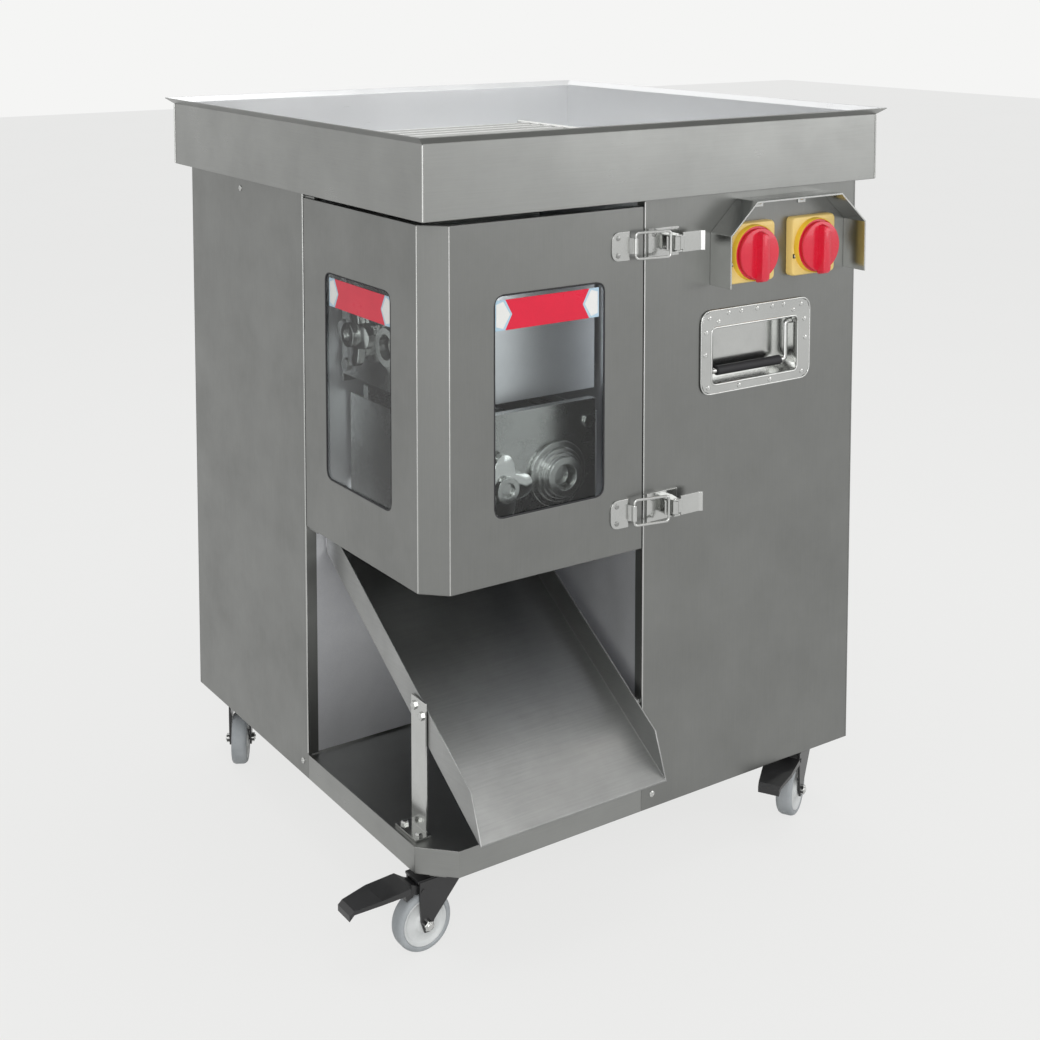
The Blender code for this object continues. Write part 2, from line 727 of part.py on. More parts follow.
def add_hinge_brackets(panel):
    """Weld the two hinge brackets and their pins to the left panel's return."""
    plates = bmesh.new()
    pins = bmesh.new()
    bush_end = SHEET + HINGE_BUSH_HIGH
    lower = DOOR_BOTTOM - GAP - HINGE_BRACKET
    upper = DOOR_TOP + GAP
    spans = {
        lower: (lower + HINGE_BRACKET / 2, DOOR_BOTTOM + bush_end),
        upper: (DOOR_TOP - bush_end, upper + HINGE_BRACKET / 2),
    }
    for level, span in spans.items():
        far = SHEET + 2 * HINGE_BUSH + SHEET
        low = (SHEET, HINGE[1] - HINGE_BUSH, level)
        box(low, (far, CHAMBER_Y + SHEET / 2, level + HINGE_BRACKET), plates)
        turned([(span[0], HINGE_PIN), (span[1], HINGE_PIN)], "Z", 12, HINGE, into=pins)
    tool(panel, plates, "UNION")
    tool(panel, pins, "UNION")


def build_latches(machine, pivot):
    """Latch bases on the cabinet, levers on their pins and bails in their knuckles."""
    foot = -GAP - LATCH_PLATE / 2
    top = LEVER_PIVOT[1] - 2 * LEVER_PIN
    half = 2.5 * LEVER_PIN
    ear = [
        (LEVER_PIVOT[0] - 1.6 * half, foot),
        (LEVER_PIVOT[0] + 1.7 * half, foot),
        (LEVER_PIVOT[0] + half, top),
        (LEVER_PIVOT[0] - half, top),
    ]
    for side, z in LATCH_HEIGHTS.items():
        low = (LATCH_BASE_X[0], -GAP - LATCH_PLATE, z - KEEPER_HALF)
        plate = box(low, (LATCH_BASE_X[1], -GAP, z + KEEPER_HALF))
        ears = bmesh.new()
        inner = LEVER_HALF + RUNNING
        prism(ear, "Z", z + inner, z + inner + EAR, ears)
        prism(ear, "Z", z - inner - EAR, z - inner, ears)
        reach = inner + EAR + LEVER_PIN / 4
        base = add(f"{side}_latch_base", plate, machine, "bright_steel")
        tool(base, ears, "UNION")
        tool(base, turned([(z - reach, LEVER_PIN), (z + reach, LEVER_PIN)], "Z", 10, LEVER_PIVOT), "UNION")

    length = BAIL_BAR[0] - KNUCKLE[0]
    tilt = math.atan2(BAIL_BAR[1] - KNUCKLE[1], length)
    span = math.hypot(length, BAIL_BAR[1] - KNUCKLE[1])
    path = [(0.0, -BAIL_HALF), (span, -BAIL_HALF), (span, BAIL_HALF), (0.0, BAIL_HALF)]
    hook = [
        *[(HOOK_IN * -math.cos(a), HOOK_IN * math.sin(a)) for a in map(math.radians, (44, 30, 17))],
        *[(HOOK_OUT * -math.cos(a), HOOK_OUT * math.sin(a)) for a in map(math.radians, (17, 32, 48, 60))],
    ]
    front_turns = map(math.radians, (-30, -75, -120, -165, 165, 150))
    back_turns = map(math.radians, (116, 80))
    hub = [(LEVER_HUB * math.cos(a), LEVER_HUB * math.sin(a)) for a in front_turns]
    back = [(LEVER_HUB * math.cos(a), LEVER_HUB * math.sin(a)) for a in back_turns]
    neck_end = LEVER_NECK + 2 * RUNNING
    neck = [(LEVER_HUB * 0.75, 0.0034), (neck_end, 0.0034), (neck_end, 0.0006), (LEVER_HUB * 0.98, 0.0006)]
    tail = LEVER_LENGTH
    handle = [
        (LEVER_NECK - RUNNING, 0.0010),
        (tail - 0.0045, 0.0010),
        (tail, -0.0020),
        (tail + 0.0010, -0.0006),
        (tail - 0.0030, 0.0030),
        (LEVER_NECK - RUNNING, 0.0030),
    ]
    for side, z in LATCH_HEIGHTS.items():
        hinge = empty(f"{side}_bail_pivot", pivot, (KNUCKLE[0] - HINGE[0], KNUCKLE[1] - HINGE[1], z))
        shape = wire(path, "Y", 0.0, BAIL_WIRE, closed=True)
        add(f"{side}_bail", shape, hinge, "bright_steel", rotation=(0.0, 0.0, tilt))
        pin = empty(f"{side}_lever_pivot", machine, (*LEVER_PIVOT, z))
        plate = prism(hub + hook + back + neck, "Z", -LEVER_HALF, LEVER_HALF)
        lever = add(f"{side}_lever", plate, pin, "bright_steel")
        tool(lever, prism(handle, "Z", -LEVER_WIDE, LEVER_WIDE), "UNION")
        bore = LEVER_PIN + RUNNING
        reach = LEVER_HALF + SHEET
        tool(lever, turned([(-reach, bore), (reach, bore)], "Z", 10), "DIFFERENCE")


def build_switches(machine):
    """Two isolators with rotary knobs behind a bent guard strip."""
    bodies = bmesh.new()
    half = SWITCH_PLATE / 2
    plate_face = -GAP - SWITCH_PLATE_DEEP
    collar_face = plate_face - SWITCH_COLLAR_DEEP
    bore = SWITCH_SPINDLE + RUNNING
    body = SWITCH_BODY / 2
    bores = bmesh.new()
    for name, x in zip(("left", "right"), SWITCH_X):
        square = rounded((x - half, SWITCH_Z - half), (x + half, SWITCH_Z + half), SWITCH_CORNER)
        plate = add(f"{name}_switch_plate", prism(square, "Y", plate_face, -GAP), machine, "yellow_plastic")
        collar = [(collar_face, SWITCH_COLLAR), (-GAP - SHEET, SWITCH_COLLAR)]
        tool(plate, turned(collar, "Y", ROUND, (x, SWITCH_Z)), "UNION")
        hole = [(collar_face - SHEET, bore), (SWITCH_BODY_DEEP - SHEET, bore)]
        tool(plate, turned(hole, "Y", 12, (x, SWITCH_Z)), "DIFFERENCE")
        turned(hole, "Y", 12, (x, SWITCH_Z), into=bores)
        low = (x - body, SHEET + GAP, SWITCH_Z - body)
        box(low, (x + body, SWITCH_BODY_DEEP, SWITCH_Z + body), bodies)
    block = add("switch_block", bodies, machine, "black_paint")
    rail_low = (SWITCH_X[0], SWITCH_BODY_DEEP - RAIL / 2, SWITCH_Z - RAIL)
    rail_high = (SWITCH_X[1], SWITCH_BODY_DEEP - GAP, SWITCH_Z + RAIL)
    tool(block, box(rail_low, rail_high), "UNION")
    tool(block, bores, "DIFFERENCE")

    seat = collar_face - RUNNING
    disc = seat - KNOB_DISC
    profile = [
        (SWITCH_BODY_DEEP / 2, SWITCH_SPINDLE),
        (seat, SWITCH_SPINDLE),
        (seat, KNOB_RADIUS),
        (disc + SHEET, KNOB_RADIUS),
        (disc, KNOB_RADIUS - SHEET),
    ]
    grip_ends = ((-GRIP_HALF, -KNOB_RADIUS - GRIP_TAIL), (GRIP_HALF, KNOB_RADIUS - GRIP_TAIL))
    grip = rounded(*grip_ends, GRIP_HALF * 0.9)
    for name, x in zip(("left", "right"), SWITCH_X):
        pivot = empty(f"{name}_knob_pivot", machine, (x, 0.0, SWITCH_Z))
        knob = add(f"{name}_knob", turned(profile, "Y", 24), pivot, "red_plastic")
        tool(knob, prism(grip, "Y", disc - KNOB_GRIP, disc + SHEET), "UNION")

    low, knee, top = GUARD_Z
    left, right = GUARD_X
    path = [
        (left, low),
        (left, knee),
        (left + GUARD_SLANT, top),
        (right - GUARD_SLANT, top),
        (right, knee),
        (right, low),
    ]
    strip = [(0.0, -GAP - GUARD_DEEP), (0.0, -GAP), (-SHEET, -GAP), (-SHEET, -GAP - GUARD_DEEP)]
    guard = add("switch_guard", swept(path, strip, "Y"), machine, "brushed_steel")
    tabs = bmesh.new()
    foot = -GAP - GUARD_TAB_THICK
    inset = SHEET / 2
    for x in GUARD_TABS:
        box((x - GUARD_TAB / 2, foot, top - GUARD_TAB), (x + GUARD_TAB / 2, -GAP, top - inset), tabs)
    tool(guard, tabs, "UNION")


def build_handle(machine):
    """Recessed pan with a drop handle whose ends turn in the pan's sides."""
    face = -GAP - SHEET
    outside = grown((RECESS_X[0], RECESS_Z[0]), (RECESS_X[1], RECESS_Z[1]), SHEET)
    recess = rounded((RECESS_X[0], RECESS_Z[0]), (RECESS_X[1], RECESS_Z[1]), RECESS_RADIUS)
    rim = rounded((PAN_X[0], PAN_Z[0]), (PAN_X[1], PAN_Z[1]), PAN_RADIUS)
    wall = rounded(*outside, RECESS_RADIUS)
    levels = [
        (recess, RECESS_DEEP - SHEET),
        (recess, face),
        (rim, face),
        (rim, -GAP),
        (wall, -GAP),
        (wall, RECESS_DEEP),
    ]
    rings = [[on_axis("Y", *point, depth) for point in outline] for outline, depth in levels]
    pan = add("handle_pan", loft(rings), machine, "brushed_steel")
    holes = bmesh.new()
    hole = HANDLE_ROD + RUNNING
    spot = (HANDLE_PIVOT_Y, HANDLE_PIVOT_Z)
    for x in RECESS_X:
        turned([(x - 2 * SHEET, hole), (x + 2 * SHEET, hole)], "X", 12, spot, into=holes)
    tool(pan, holes, "DIFFERENCE")
    pivot = empty("handle_pivot", machine, (0.0, *spot))
    left, right = RECESS_X[0] + HANDLE_INSET, RECESS_X[1] - HANDLE_INSET
    stub = SHEET + HANDLE_ROD
    path = [
        (RECESS_X[0] - stub, 0.0),
        (left, 0.0),
        (left, -HANDLE_DROP),
        (right, -HANDLE_DROP),
        (right, 0.0),
        (RECESS_X[1] + stub, 0.0),
    ]
    handle = add("carry_handle", wire(path, "Y", 0.0, HANDLE_ROD, 10), pivot, "black_paint")
    span = (left + 2 * HANDLE_ROD, right - 2 * HANDLE_ROD)
    grip = [(span[0], HANDLE_GRIP), (span[1], HANDLE_GRIP)]
    tool(handle, turned(grip, "X", 12, (0.0, -HANDLE_DROP)), "UNION")


def chute_point(y, rise):
    """Return a point a given height square above the chute floor, at one depth."""
    along = (y + rise * math.sin(CHUTE_SLOPE)) / math.cos(CHUTE_SLOPE)
    start = CHUTE_TOP_Z - CHUTE_BACK * math.tan(CHUTE_SLOPE)
    return y, start + along * math.sin(CHUTE_SLOPE) + rise * math.cos(CHUTE_SLOPE)


def build_chute(machine):
    """Sloping discharge chute with a strap foot on one side and spacers on the other."""
    left, right = CHUTE_X
    outline = [
        (left, -SHEET),
        (right, -SHEET),
        (right, CHUTE_SIDE),
        (right - SHEET, CHUTE_SIDE),
        (right - SHEET, 0.0),
        (left + SHEET, 0.0),
        (left + SHEET, CHUTE_SIDE),
        (left, CHUTE_SIDE),
    ]
    rings = []
    for front in (True, False):
        ring = []
        for x, rise in outline:
            lean = CHUTE_TAPER if front and rise == CHUTE_SIDE else 0.0
            y = CHUTE_FRONT + lean if front else CHUTE_BACK
            ring.append((x, *chute_point(y, rise)))
        rings.append(ring)
    chute = add("discharge_chute", loft(rings), machine, "brushed_steel")
    spacers = bmesh.new()
    for y, seat in ((SPACER_Y[0], CHAMBER_X), (SPACER_Y[1], WALL_X)):
        middle = chute_point(y, CHUTE_SIDE * 0.7)
        ends = (right - SHEET / 2, seat - GAP)
        turned([(x, BOLT_HEAD) for x in ends], "X", SMALL_ROUND, middle, into=spacers)
    tool(chute, spacers, "UNION")

    outer = left - GAP
    inner = outer - STRAP_THICK
    deck = BASE_FLOOR + GAP
    foot_low = (outer - STRAP_FOOT, STRAP_Y[0] - STRAP_FLARE, deck)
    foot_high = (outer, STRAP_Y[1] + STRAP_FLARE, deck + STRAP_THICK)
    strap = add("chute_strap", box(foot_low, foot_high), machine, "brushed_steel")
    edge = STRAP_THICK / 4
    upright_low = (inner, STRAP_Y[0], deck + edge)
    tool(strap, box(upright_low, (outer - edge, STRAP_Y[1], STRAP_TOP)), "UNION")

    bolts = bmesh.new()
    for y, z in STRAP_BOLTS:
        hexagon_bolt(BOLT_HEAD, "X", (y, z), inner, -1, bolts)
    for y in STRAP_Y:
        hexagon_bolt(BOLT_HEAD, "Z", (outer - STRAP_FOOT * 0.6, y), deck + STRAP_THICK, 1, bolts)
    tool(strap, bolts, "UNION")


def gear_outline(phase):
    """Return an involute gear's outline, thinned a little for backlash."""
    pitch = SHAFT_SPACING / 2
    module = 2 * pitch / GEAR_TEETH
    base = pitch * math.cos(PRESSURE)

    def half_angle(radius):
        reach = max(radius, base)
        work = math.acos(base / reach)
        spread = (math.tan(PRESSURE) - PRESSURE) - (math.tan(work) - work)
        return (math.pi * module / 2 - BACKLASH) / (2 * pitch) + spread

    radii = [pitch - ROOT_DEPTH * module, pitch, pitch + TIP_HEIGHT * module]
    points = []
    for tooth in range(GEAR_TEETH):
        middle = 2 * math.pi * (tooth + phase) / GEAR_TEETH
        flanks = [(r, -half_angle(r)) for r in radii] + [(r, half_angle(r)) for r in reversed(radii)]
        for radius, turn in flanks:
            points.append((radius * math.cos(middle + turn), radius * math.sin(middle + turn)))
    return points


def stack_profile(first, low, high):
    """Return the closed profile of blades and spacers from one end to the other."""
    profile = [(low, SPACER_RADIUS)]
    for index in range(BLADE_COUNT):
        start = first + index * BLADE_PITCH
        profile.append((start, SPACER_RADIUS))
        profile.append((start, BLADE_RADIUS))
        profile.append((start + BLADE_THICK, BLADE_RADIUS))
        profile.append((start + BLADE_THICK, SPACER_RADIUS))
    bore = SHAFT_RADIUS + GAP
    return profile + [(high, SPACER_RADIUS), (high, bore), (low, bore)]


def build_group(machine, name, place, turn, wall):
    """One cutter group in its own frame: x along the shafts, y across, z up."""
    group = empty(f"{name}_group", machine, place, turn)
    front, back = END_PLATE_U
    sides = (-SIDE_MARGIN, SHAFT_SPACING + SIDE_MARGIN)
    shafts = (0.0, SHAFT_SPACING)
    plates = bmesh.new()
    for start in (front, back):
        face = rectangle((sides[0], END_PLATE_W[0]), (sides[1], END_PLATE_W[1]))
        prism(face, "X", start, start + END_PLATE, plates)
    frame = add(f"{name}_cutter_frame", plates, group, "bright_steel")
    fixed = bmesh.new()
    level = front + SHEET
    steps = [(level, HUB_STEPS[0][1])]
    level = front
    for deep, radius in HUB_STEPS:
        steps.append((level, radius))
        level -= deep
        steps.append((level, radius))
    turned(steps, "X", ROUND, (0.0, 0.0), into=fixed)
    boss = [(front + SHEET, BOSS_RADIUS), (front - BOSS_DEEP, BOSS_RADIUS)]
    turned(boss, "X", ROUND, (SHAFT_SPACING, 0.0), into=fixed)
    for across in (sides[0] + TIE_ROD_INSET, sides[1] - TIE_ROD_INSET):
        for up in TIE_ROD_W:
            rod = [
                (front - BOLT_HEAD_HIGH, TIE_NUT),
                (front + SHEET, TIE_NUT),
                (front + SHEET, TIE_ROD),
                (wall - GAP, TIE_ROD),
            ]
            turned(rod, "X", SMALL_ROUND, (across, up), into=fixed)
    tool(frame, fixed, "UNION")
    bores = bmesh.new()
    bore = SHAFT_RADIUS + RUNNING
    past = back + 2 * END_PLATE
    stepped = [(0.0, HUB_BORE), (front - SHEET, HUB_BORE), (front - SHEET, bore), (past, bore)]
    turned(stepped, "X", into=bores)
    turned([(0.0, bore), (past, bore)], "X", ROUND, (SHAFT_SPACING, 0.0), into=bores)
    tool(frame, bores, "DIFFERENCE")

    rear_cover = rectangle((sides[1] - GAP, COVER_W[0]), (sides[1] + SHEET, COVER_W[1]))
    tool(frame, prism(rear_cover, "X", front + GAP, wall - COVER_END), "UNION")
    front_cover = rectangle((sides[0] - GAP - SHEET, COVER_W[0]), (sides[0] - GAP, COVER_W[1]))
    add(f"{name}_guard_plate", prism(front_cover, "X", front, wall - COVER_END), group, "bright_steel")

    inner_low, inner_high = front + END_PLATE + RUNNING, back - RUNNING
    middle = (inner_low + inner_high) / 2
    first = middle - (BLADE_COUNT - 1) * BLADE_PITCH / 2 - BLADE_THICK
    comb_high = -COMB_DROP
    comb_low = comb_high - COMB_THICK
    sides_of = (("a", -1, 0.0, first), ("b", 1, SHAFT_SPACING, first + BLADE_THICK + BLADE_SHEAR_GAP))
    for letter, side, centre, start in sides_of:
        bar = sorted((centre + side * (BLADE_RADIUS + COMB_GAP), centre + side * (SIDE_MARGIN - 3 * GAP)))
        outline = rectangle((bar[0], comb_low), (bar[1], comb_high))
        backbone = prism(outline, "X", inner_low, inner_high)
        comb = add(f"{name}_comb_{letter}", backbone, group, "bright_steel")
        root, tip = SIDE_MARGIN - COMB_THICK, SPACER_RADIUS + COMB_GAP
        reach = sorted((centre + side * tip, centre + side * root))
        finger = rectangle((reach[0], comb_low + GAP), (reach[1], comb_high - GAP))
        fingers = bmesh.new()
        for index in range(BLADE_COUNT - 1):
            low = start + index * BLADE_PITCH + BLADE_THICK + COMB_GAP
            prism(finger, "X", low, low + BLADE_PITCH - BLADE_THICK - 2 * COMB_GAP, fingers)
        tool(comb, fingers, "UNION")

    gear_low = wall + SHEET + GEAR_WALL_CLEAR
    far = wall + SHEET + GEARBOX_U - END_PLATE
    star_high = front - BOSS_DEEP - RUNNING
    star_low = star_high - STAR_THICK
    for letter, across in zip("ab", shafts):
        pivot = empty(f"{name}_shaft_{letter}_pivot", group, (0.0, across, 0.0))
        nose = SHAFT_NOSE if letter == "a" else star_low - STAR_RING_DEEP / 2
        shape = turned([(nose, SHAFT_RADIUS), (far, SHAFT_RADIUS)], "X")
        shaft = add(f"{name}_shaft_{letter}", shape, pivot, "bright_steel")
        extra = prism(gear_outline(0.0 if letter == "a" else 0.5), "X", gear_low, gear_low + GEAR_WIDTH)
        start = first
        if letter == "b":
            start = first + BLADE_THICK + BLADE_SHEAR_GAP
            star = []
            points = STAR_LOBES * 6
            for index in range(points):
                angle = 2 * math.pi * index / points
                swell = (1 + math.cos(STAR_LOBES * angle)) / 2
                radius = STAR_WAIST + (STAR_TIP - STAR_WAIST) * swell**0.7
                star.append((radius * math.cos(angle), radius * math.sin(angle)))
            prism(star, "X", star_low, star_high, extra)
            turned([(star_low - STAR_RING_DEEP, STAR_RING), (star_high - SHEET, STAR_RING)], "X", into=extra)
        tool(shaft, extra, "UNION")
        blades = turned(stack_profile(start, inner_low, inner_high), "X", BLADE_ROUND, closed=True)
        add(f"{name}_blades_{letter}", blades, pivot, "bright_steel")

    low = wall + SHEET + GAP
    high = wall + SHEET + GEARBOX_U
    case = rectangle((-GEARBOX_MARGIN, GEARBOX_W[0]), (SHAFT_SPACING + GEARBOX_MARGIN, GEARBOX_W[1]))
    hollow = rectangle(
        (-GEARBOX_MARGIN + GEARBOX_WALL, GEARBOX_W[0] + GEARBOX_WALL),
        (SHAFT_SPACING + GEARBOX_MARGIN - GEARBOX_WALL, GEARBOX_W[1] - GEARBOX_WALL),
    )
    rings = []
    for outline, along in ((hollow, high - GEARBOX_WALL), (hollow, low), (case, low), (case, high)):
        rings.append([on_axis("X", *point, along) for point in outline])
    drive = add(f"{name}_drive", loft(rings), group, "cast_iron")
    motor = [
        (high - GEARBOX_WALL / 2, MOTOR_RADIUS),
        (high + GEARBOX_WALL, MOTOR_RADIUS),
        (high + 2 * GEARBOX_WALL, MOTOR_RADIUS * 0.92),
        (high + MOTOR_LENGTH - 0.040, MOTOR_RADIUS * 0.92),
        (high + MOTOR_LENGTH - 0.040, MOTOR_RADIUS),
        (high + MOTOR_LENGTH - 0.006, MOTOR_RADIUS),
        (high + MOTOR_LENGTH, MOTOR_RADIUS * 0.88),
    ]
    tool(drive, turned(motor, "X", ROUND), "UNION")


def caster_places():
    """Return each caster's swivel centre by corner name."""
    near = CASTER_INSET
    right, rear = BODY_WIDTH - CASTER_INSET, BODY_DEPTH - CASTER_INSET
    return {
        "front_left": (near, near),
        "front_right": (right, near),
        "rear_left": (near, rear),
        "rear_right": (right, rear),
    }


def build_races(pan):
    """Weld each caster's top plate, race and king pin under the pan."""
    plates = bmesh.new()
    half = CASTER_PLATE / 2
    cut = CASTER_PLATE_CUT
    corner = [(half, half - cut), (half - cut, half), (cut - half, half), (-half, half - cut)]
    octagon = corner + [(-x, -y) for x, y in corner]
    races = bmesh.new()
    for x, y in caster_places().values():
        prism([(x + dx, y + dy) for dx, dy in octagon], "Z", PLATE_LOW, SHEET / 2, plates)
        race = [
            (PLATE_LOW + SHEET / 2, RACE_RADIUS),
            (PLATE_LOW - RACE_DEEP / 3, RACE_RADIUS),
            (RACE_LOW, RACE_RADIUS * 0.85),
            (RACE_LOW, KING_PIN),
            (CROWN_LOW - RUNNING, KING_PIN),
            (CROWN_LOW - RUNNING, KING_PIN * 1.6),
            (CROWN_LOW - RUNNING - BOLT_HEAD_HIGH, KING_PIN * 1.6),
        ]
        turned(race, "Z", ROUND, (x, y), into=races)
    tool(pan, plates, "UNION")
    tool(pan, races, "UNION")


def build_casters(machine):
    """Four swivel casters, two of them with brake pedals."""
    leg = [
        (-RACE_RADIUS * 0.6, CROWN_LOW + FORK_SHEET / 2),
        (FORK_FRONT - SHEET, CROWN_LOW + FORK_SHEET / 2),
        (FORK_FRONT - SHEET, PEDAL_PIVOT[1] - 2 * PEDAL_PIN),
        (FORK_TRAIL + FORK_FOOT, -AXLE_DROP + FORK_FOOT / 2),
        (FORK_TRAIL + FORK_FOOT / 2, -AXLE_DROP - FORK_FOOT),
        (FORK_TRAIL - FORK_FOOT / 2, -AXLE_DROP - FORK_FOOT),
        (FORK_TRAIL - FORK_FOOT, -AXLE_DROP + FORK_FOOT / 2),
        (-RACE_RADIUS * 0.6, CROWN_LOW - FORK_SHEET * 2),
    ]
    outer = FORK_INNER + FORK_SHEET
    crown = [
        (-RACE_RADIUS, -outer / 2),
        (-RACE_RADIUS / 2, -outer + SHEET / 2),
        (FORK_FRONT, -outer + SHEET / 2),
        (FORK_FRONT, outer - SHEET / 2),
        (-RACE_RADIUS / 2, outer - SHEET / 2),
        (-RACE_RADIUS, outer / 2),
    ]
    rim = WHEEL_RADIUS / math.cos(math.pi / WHEEL_ROUND)
    bore = AXLE + RUNNING
    tread = [
        (-WHEEL_HALF, bore),
        (-WHEEL_HALF, 0.42 * rim),
        (-WHEEL_HALF + SHEET, 0.46 * rim),
        (-WHEEL_HALF + SHEET, 0.78 * rim),
        (-WHEEL_HALF, 0.93 * rim),
        (-WHEEL_HALF * 0.72, rim),
    ]
    tread += [(-along, radius) for along, radius in reversed(tread)]
    for name, (x, y) in caster_places().items():
        swivel = empty(f"{name}_swivel", machine, (x, y, 0.0), math.radians(CASTER_ANGLES[name]))
        fork = add(f"{name}_fork", prism(crown, "Z", CROWN_LOW, CROWN_HIGH), swivel, "black_paint")
        legs = bmesh.new()
        prism(leg, "Y", FORK_INNER, outer, legs)
        prism(leg, "Y", -outer, -FORK_INNER, legs)
        pins = bmesh.new()
        nut = outer + BOLT_HEAD_HIGH
        turned(
            [(-nut, 1.6 * AXLE), (-outer + SHEET / 2, 1.6 * AXLE), (-outer + SHEET / 2, AXLE),
             (outer - SHEET / 2, AXLE), (outer - SHEET / 2, 1.6 * AXLE), (nut, 1.6 * AXLE)],
            "Y",
            12,
            (FORK_TRAIL, -AXLE_DROP),
            into=pins,
        )
        if name in BRAKED:
            span = outer + SHEET / 2
            turned([(-span, PEDAL_PIN), (span, PEDAL_PIN)], "Y", 12, PEDAL_PIVOT, into=pins)
        tool(fork, legs, "UNION")
        tool(fork, pins, "UNION")
        hole = KING_PIN + RUNNING
        tool(fork, turned([(CROWN_LOW - SHEET, hole), (CROWN_HIGH + SHEET, hole)], "Z", 12), "DIFFERENCE")
        hub = empty(f"{name}_axle", swivel, (FORK_TRAIL, 0.0, -AXLE_DROP))
        add(f"{name}_wheel", turned(tread, "Y", WHEEL_ROUND, closed=True, phase=0.5), hub, "grey_wheel")
        if name in BRAKED:
            build_pedal(name, swivel)


def build_pedal(name, swivel):
    """Brake pedal on its pin, with a shoe over the tread."""
    pivot = empty(f"{name}_pedal_pivot", swivel, (PEDAL_PIVOT[0], 0.0, PEDAL_PIVOT[1]))
    tip = PEDAL_REACH - PEDAL_PIVOT[0]
    narrow = FORK_INNER - SHEET
    stations = [
        (-0.006, narrow, -0.004, 0.004),
        (0.006, narrow, -0.005, 0.006),
        (0.014, narrow, -0.001, 0.0100),
        (0.020, PEDAL_HALF, 0.004, 0.0115),
        (0.060, PEDAL_HALF, 0.004, 0.0095),
        (tip - 0.006, PEDAL_HALF * 0.75, 0.001, 0.0055),
        (tip, PEDAL_HALF * 0.70, -0.006, 0.0015),
    ]
    rings = []
    for along, half, low, high in stations:
        rings.append([(along, -half, low), (along, half, low), (along, half, high), (along, -half, high)])
    pedal = add(f"{name}_pedal", loft(rings), pivot, "black_paint")
    shoe = [(0.010, 0.002), (0.010, -0.0070), (0.020, -0.0110), (0.022, 0.007)]
    tool(pedal, prism(shoe, "Y", -narrow + SHEET, narrow - SHEET), "UNION")
    bore = PEDAL_PIN + RUNNING
    reach = 2 * narrow
    tool(pedal, turned([(-reach, bore), (reach, bore)], "Y", 12), "DIFFERENCE")


def main():
    """Build every piece in order."""
    clear_scene()
    machine = empty("machine", None, ORIGIN)
    build_base(machine)
    build_posts(machine)
    build_panels(machine)
    build_tray(machine)
    build_grid(machine)
    pivot = build_door(machine)
    build_latches(machine, pivot)
    build_switches(machine)
    build_handle(machine)
    build_chute(machine)
    build_group(machine, "upper", (0.0, UPPER_SHAFT[0], UPPER_SHAFT[1]), 0.0, WALL_X)
    build_group(machine, "lower", (LOWER_SHAFT[0], 0.0, LOWER_SHAFT[1]), math.pi / 2, WALL_Y)
    build_casters(machine)


main()
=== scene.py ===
"""Looks of the meat strip cutter: finishes, fine round pieces, light and camera."""

import json
import logging
import math
from dataclasses import dataclass, field, replace
from enum import Enum

import bmesh
import bpy
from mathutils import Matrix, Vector

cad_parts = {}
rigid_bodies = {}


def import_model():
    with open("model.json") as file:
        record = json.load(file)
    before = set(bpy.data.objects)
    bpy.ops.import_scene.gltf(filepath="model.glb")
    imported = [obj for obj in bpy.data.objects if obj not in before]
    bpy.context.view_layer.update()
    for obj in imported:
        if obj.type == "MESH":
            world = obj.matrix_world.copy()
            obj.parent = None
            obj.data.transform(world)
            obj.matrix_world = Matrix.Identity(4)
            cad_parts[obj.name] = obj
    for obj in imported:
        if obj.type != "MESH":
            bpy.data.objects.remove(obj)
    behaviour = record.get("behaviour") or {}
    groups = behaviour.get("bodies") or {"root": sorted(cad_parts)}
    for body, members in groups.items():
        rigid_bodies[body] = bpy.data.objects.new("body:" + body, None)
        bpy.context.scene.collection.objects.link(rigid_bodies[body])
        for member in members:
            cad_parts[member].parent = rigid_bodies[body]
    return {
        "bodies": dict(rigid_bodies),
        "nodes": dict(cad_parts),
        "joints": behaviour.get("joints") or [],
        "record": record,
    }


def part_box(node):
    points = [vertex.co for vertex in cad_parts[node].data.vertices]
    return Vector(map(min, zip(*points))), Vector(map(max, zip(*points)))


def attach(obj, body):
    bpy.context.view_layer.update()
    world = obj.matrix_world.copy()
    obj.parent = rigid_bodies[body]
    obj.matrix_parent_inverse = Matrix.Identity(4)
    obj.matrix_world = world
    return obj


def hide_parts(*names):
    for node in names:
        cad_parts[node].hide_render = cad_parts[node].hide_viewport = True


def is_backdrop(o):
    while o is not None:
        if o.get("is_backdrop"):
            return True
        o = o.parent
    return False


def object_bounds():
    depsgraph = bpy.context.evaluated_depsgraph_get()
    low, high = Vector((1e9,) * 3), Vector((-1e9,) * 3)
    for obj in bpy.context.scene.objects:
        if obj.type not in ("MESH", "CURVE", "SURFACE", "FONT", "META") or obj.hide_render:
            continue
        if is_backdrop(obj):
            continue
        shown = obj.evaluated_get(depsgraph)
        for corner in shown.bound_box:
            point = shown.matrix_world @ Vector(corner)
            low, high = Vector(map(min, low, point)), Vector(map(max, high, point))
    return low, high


LOG = logging.getLogger("strip_cutter")
MM = 0.001
UP = Vector((0.0, 0.0, 1.0))
SHARP_ANGLE = 35.0  # degrees at which a fine piece keeps a sharp edge
CUT_SHARE = 0.3  # largest share of a profile's side that a cut corner takes

Mesh = bmesh.types.BMesh
Tree = bpy.types.NodeTree
Socket = bpy.types.NodeSocket
Point = tuple[float, float, float]
Span = tuple[float, float]
Profile = list[Span]
Pairs = tuple[Span, ...]
Window = tuple[float, float, float, float]


class Side(Enum):
    """Side of the machine that a face looks to, as its outward direction."""

    FRONT = (0.0, -1.0, 0.0)
    LEFT = (-1.0, 0.0, 0.0)

    @property
    def out(self) -> Vector:
        """Return the outward direction."""
        return Vector(self.value)

    @property
    def label(self) -> str:
        """Return the word that names the door's pieces on this side."""
        return "front" if self is Side.FRONT else "side"


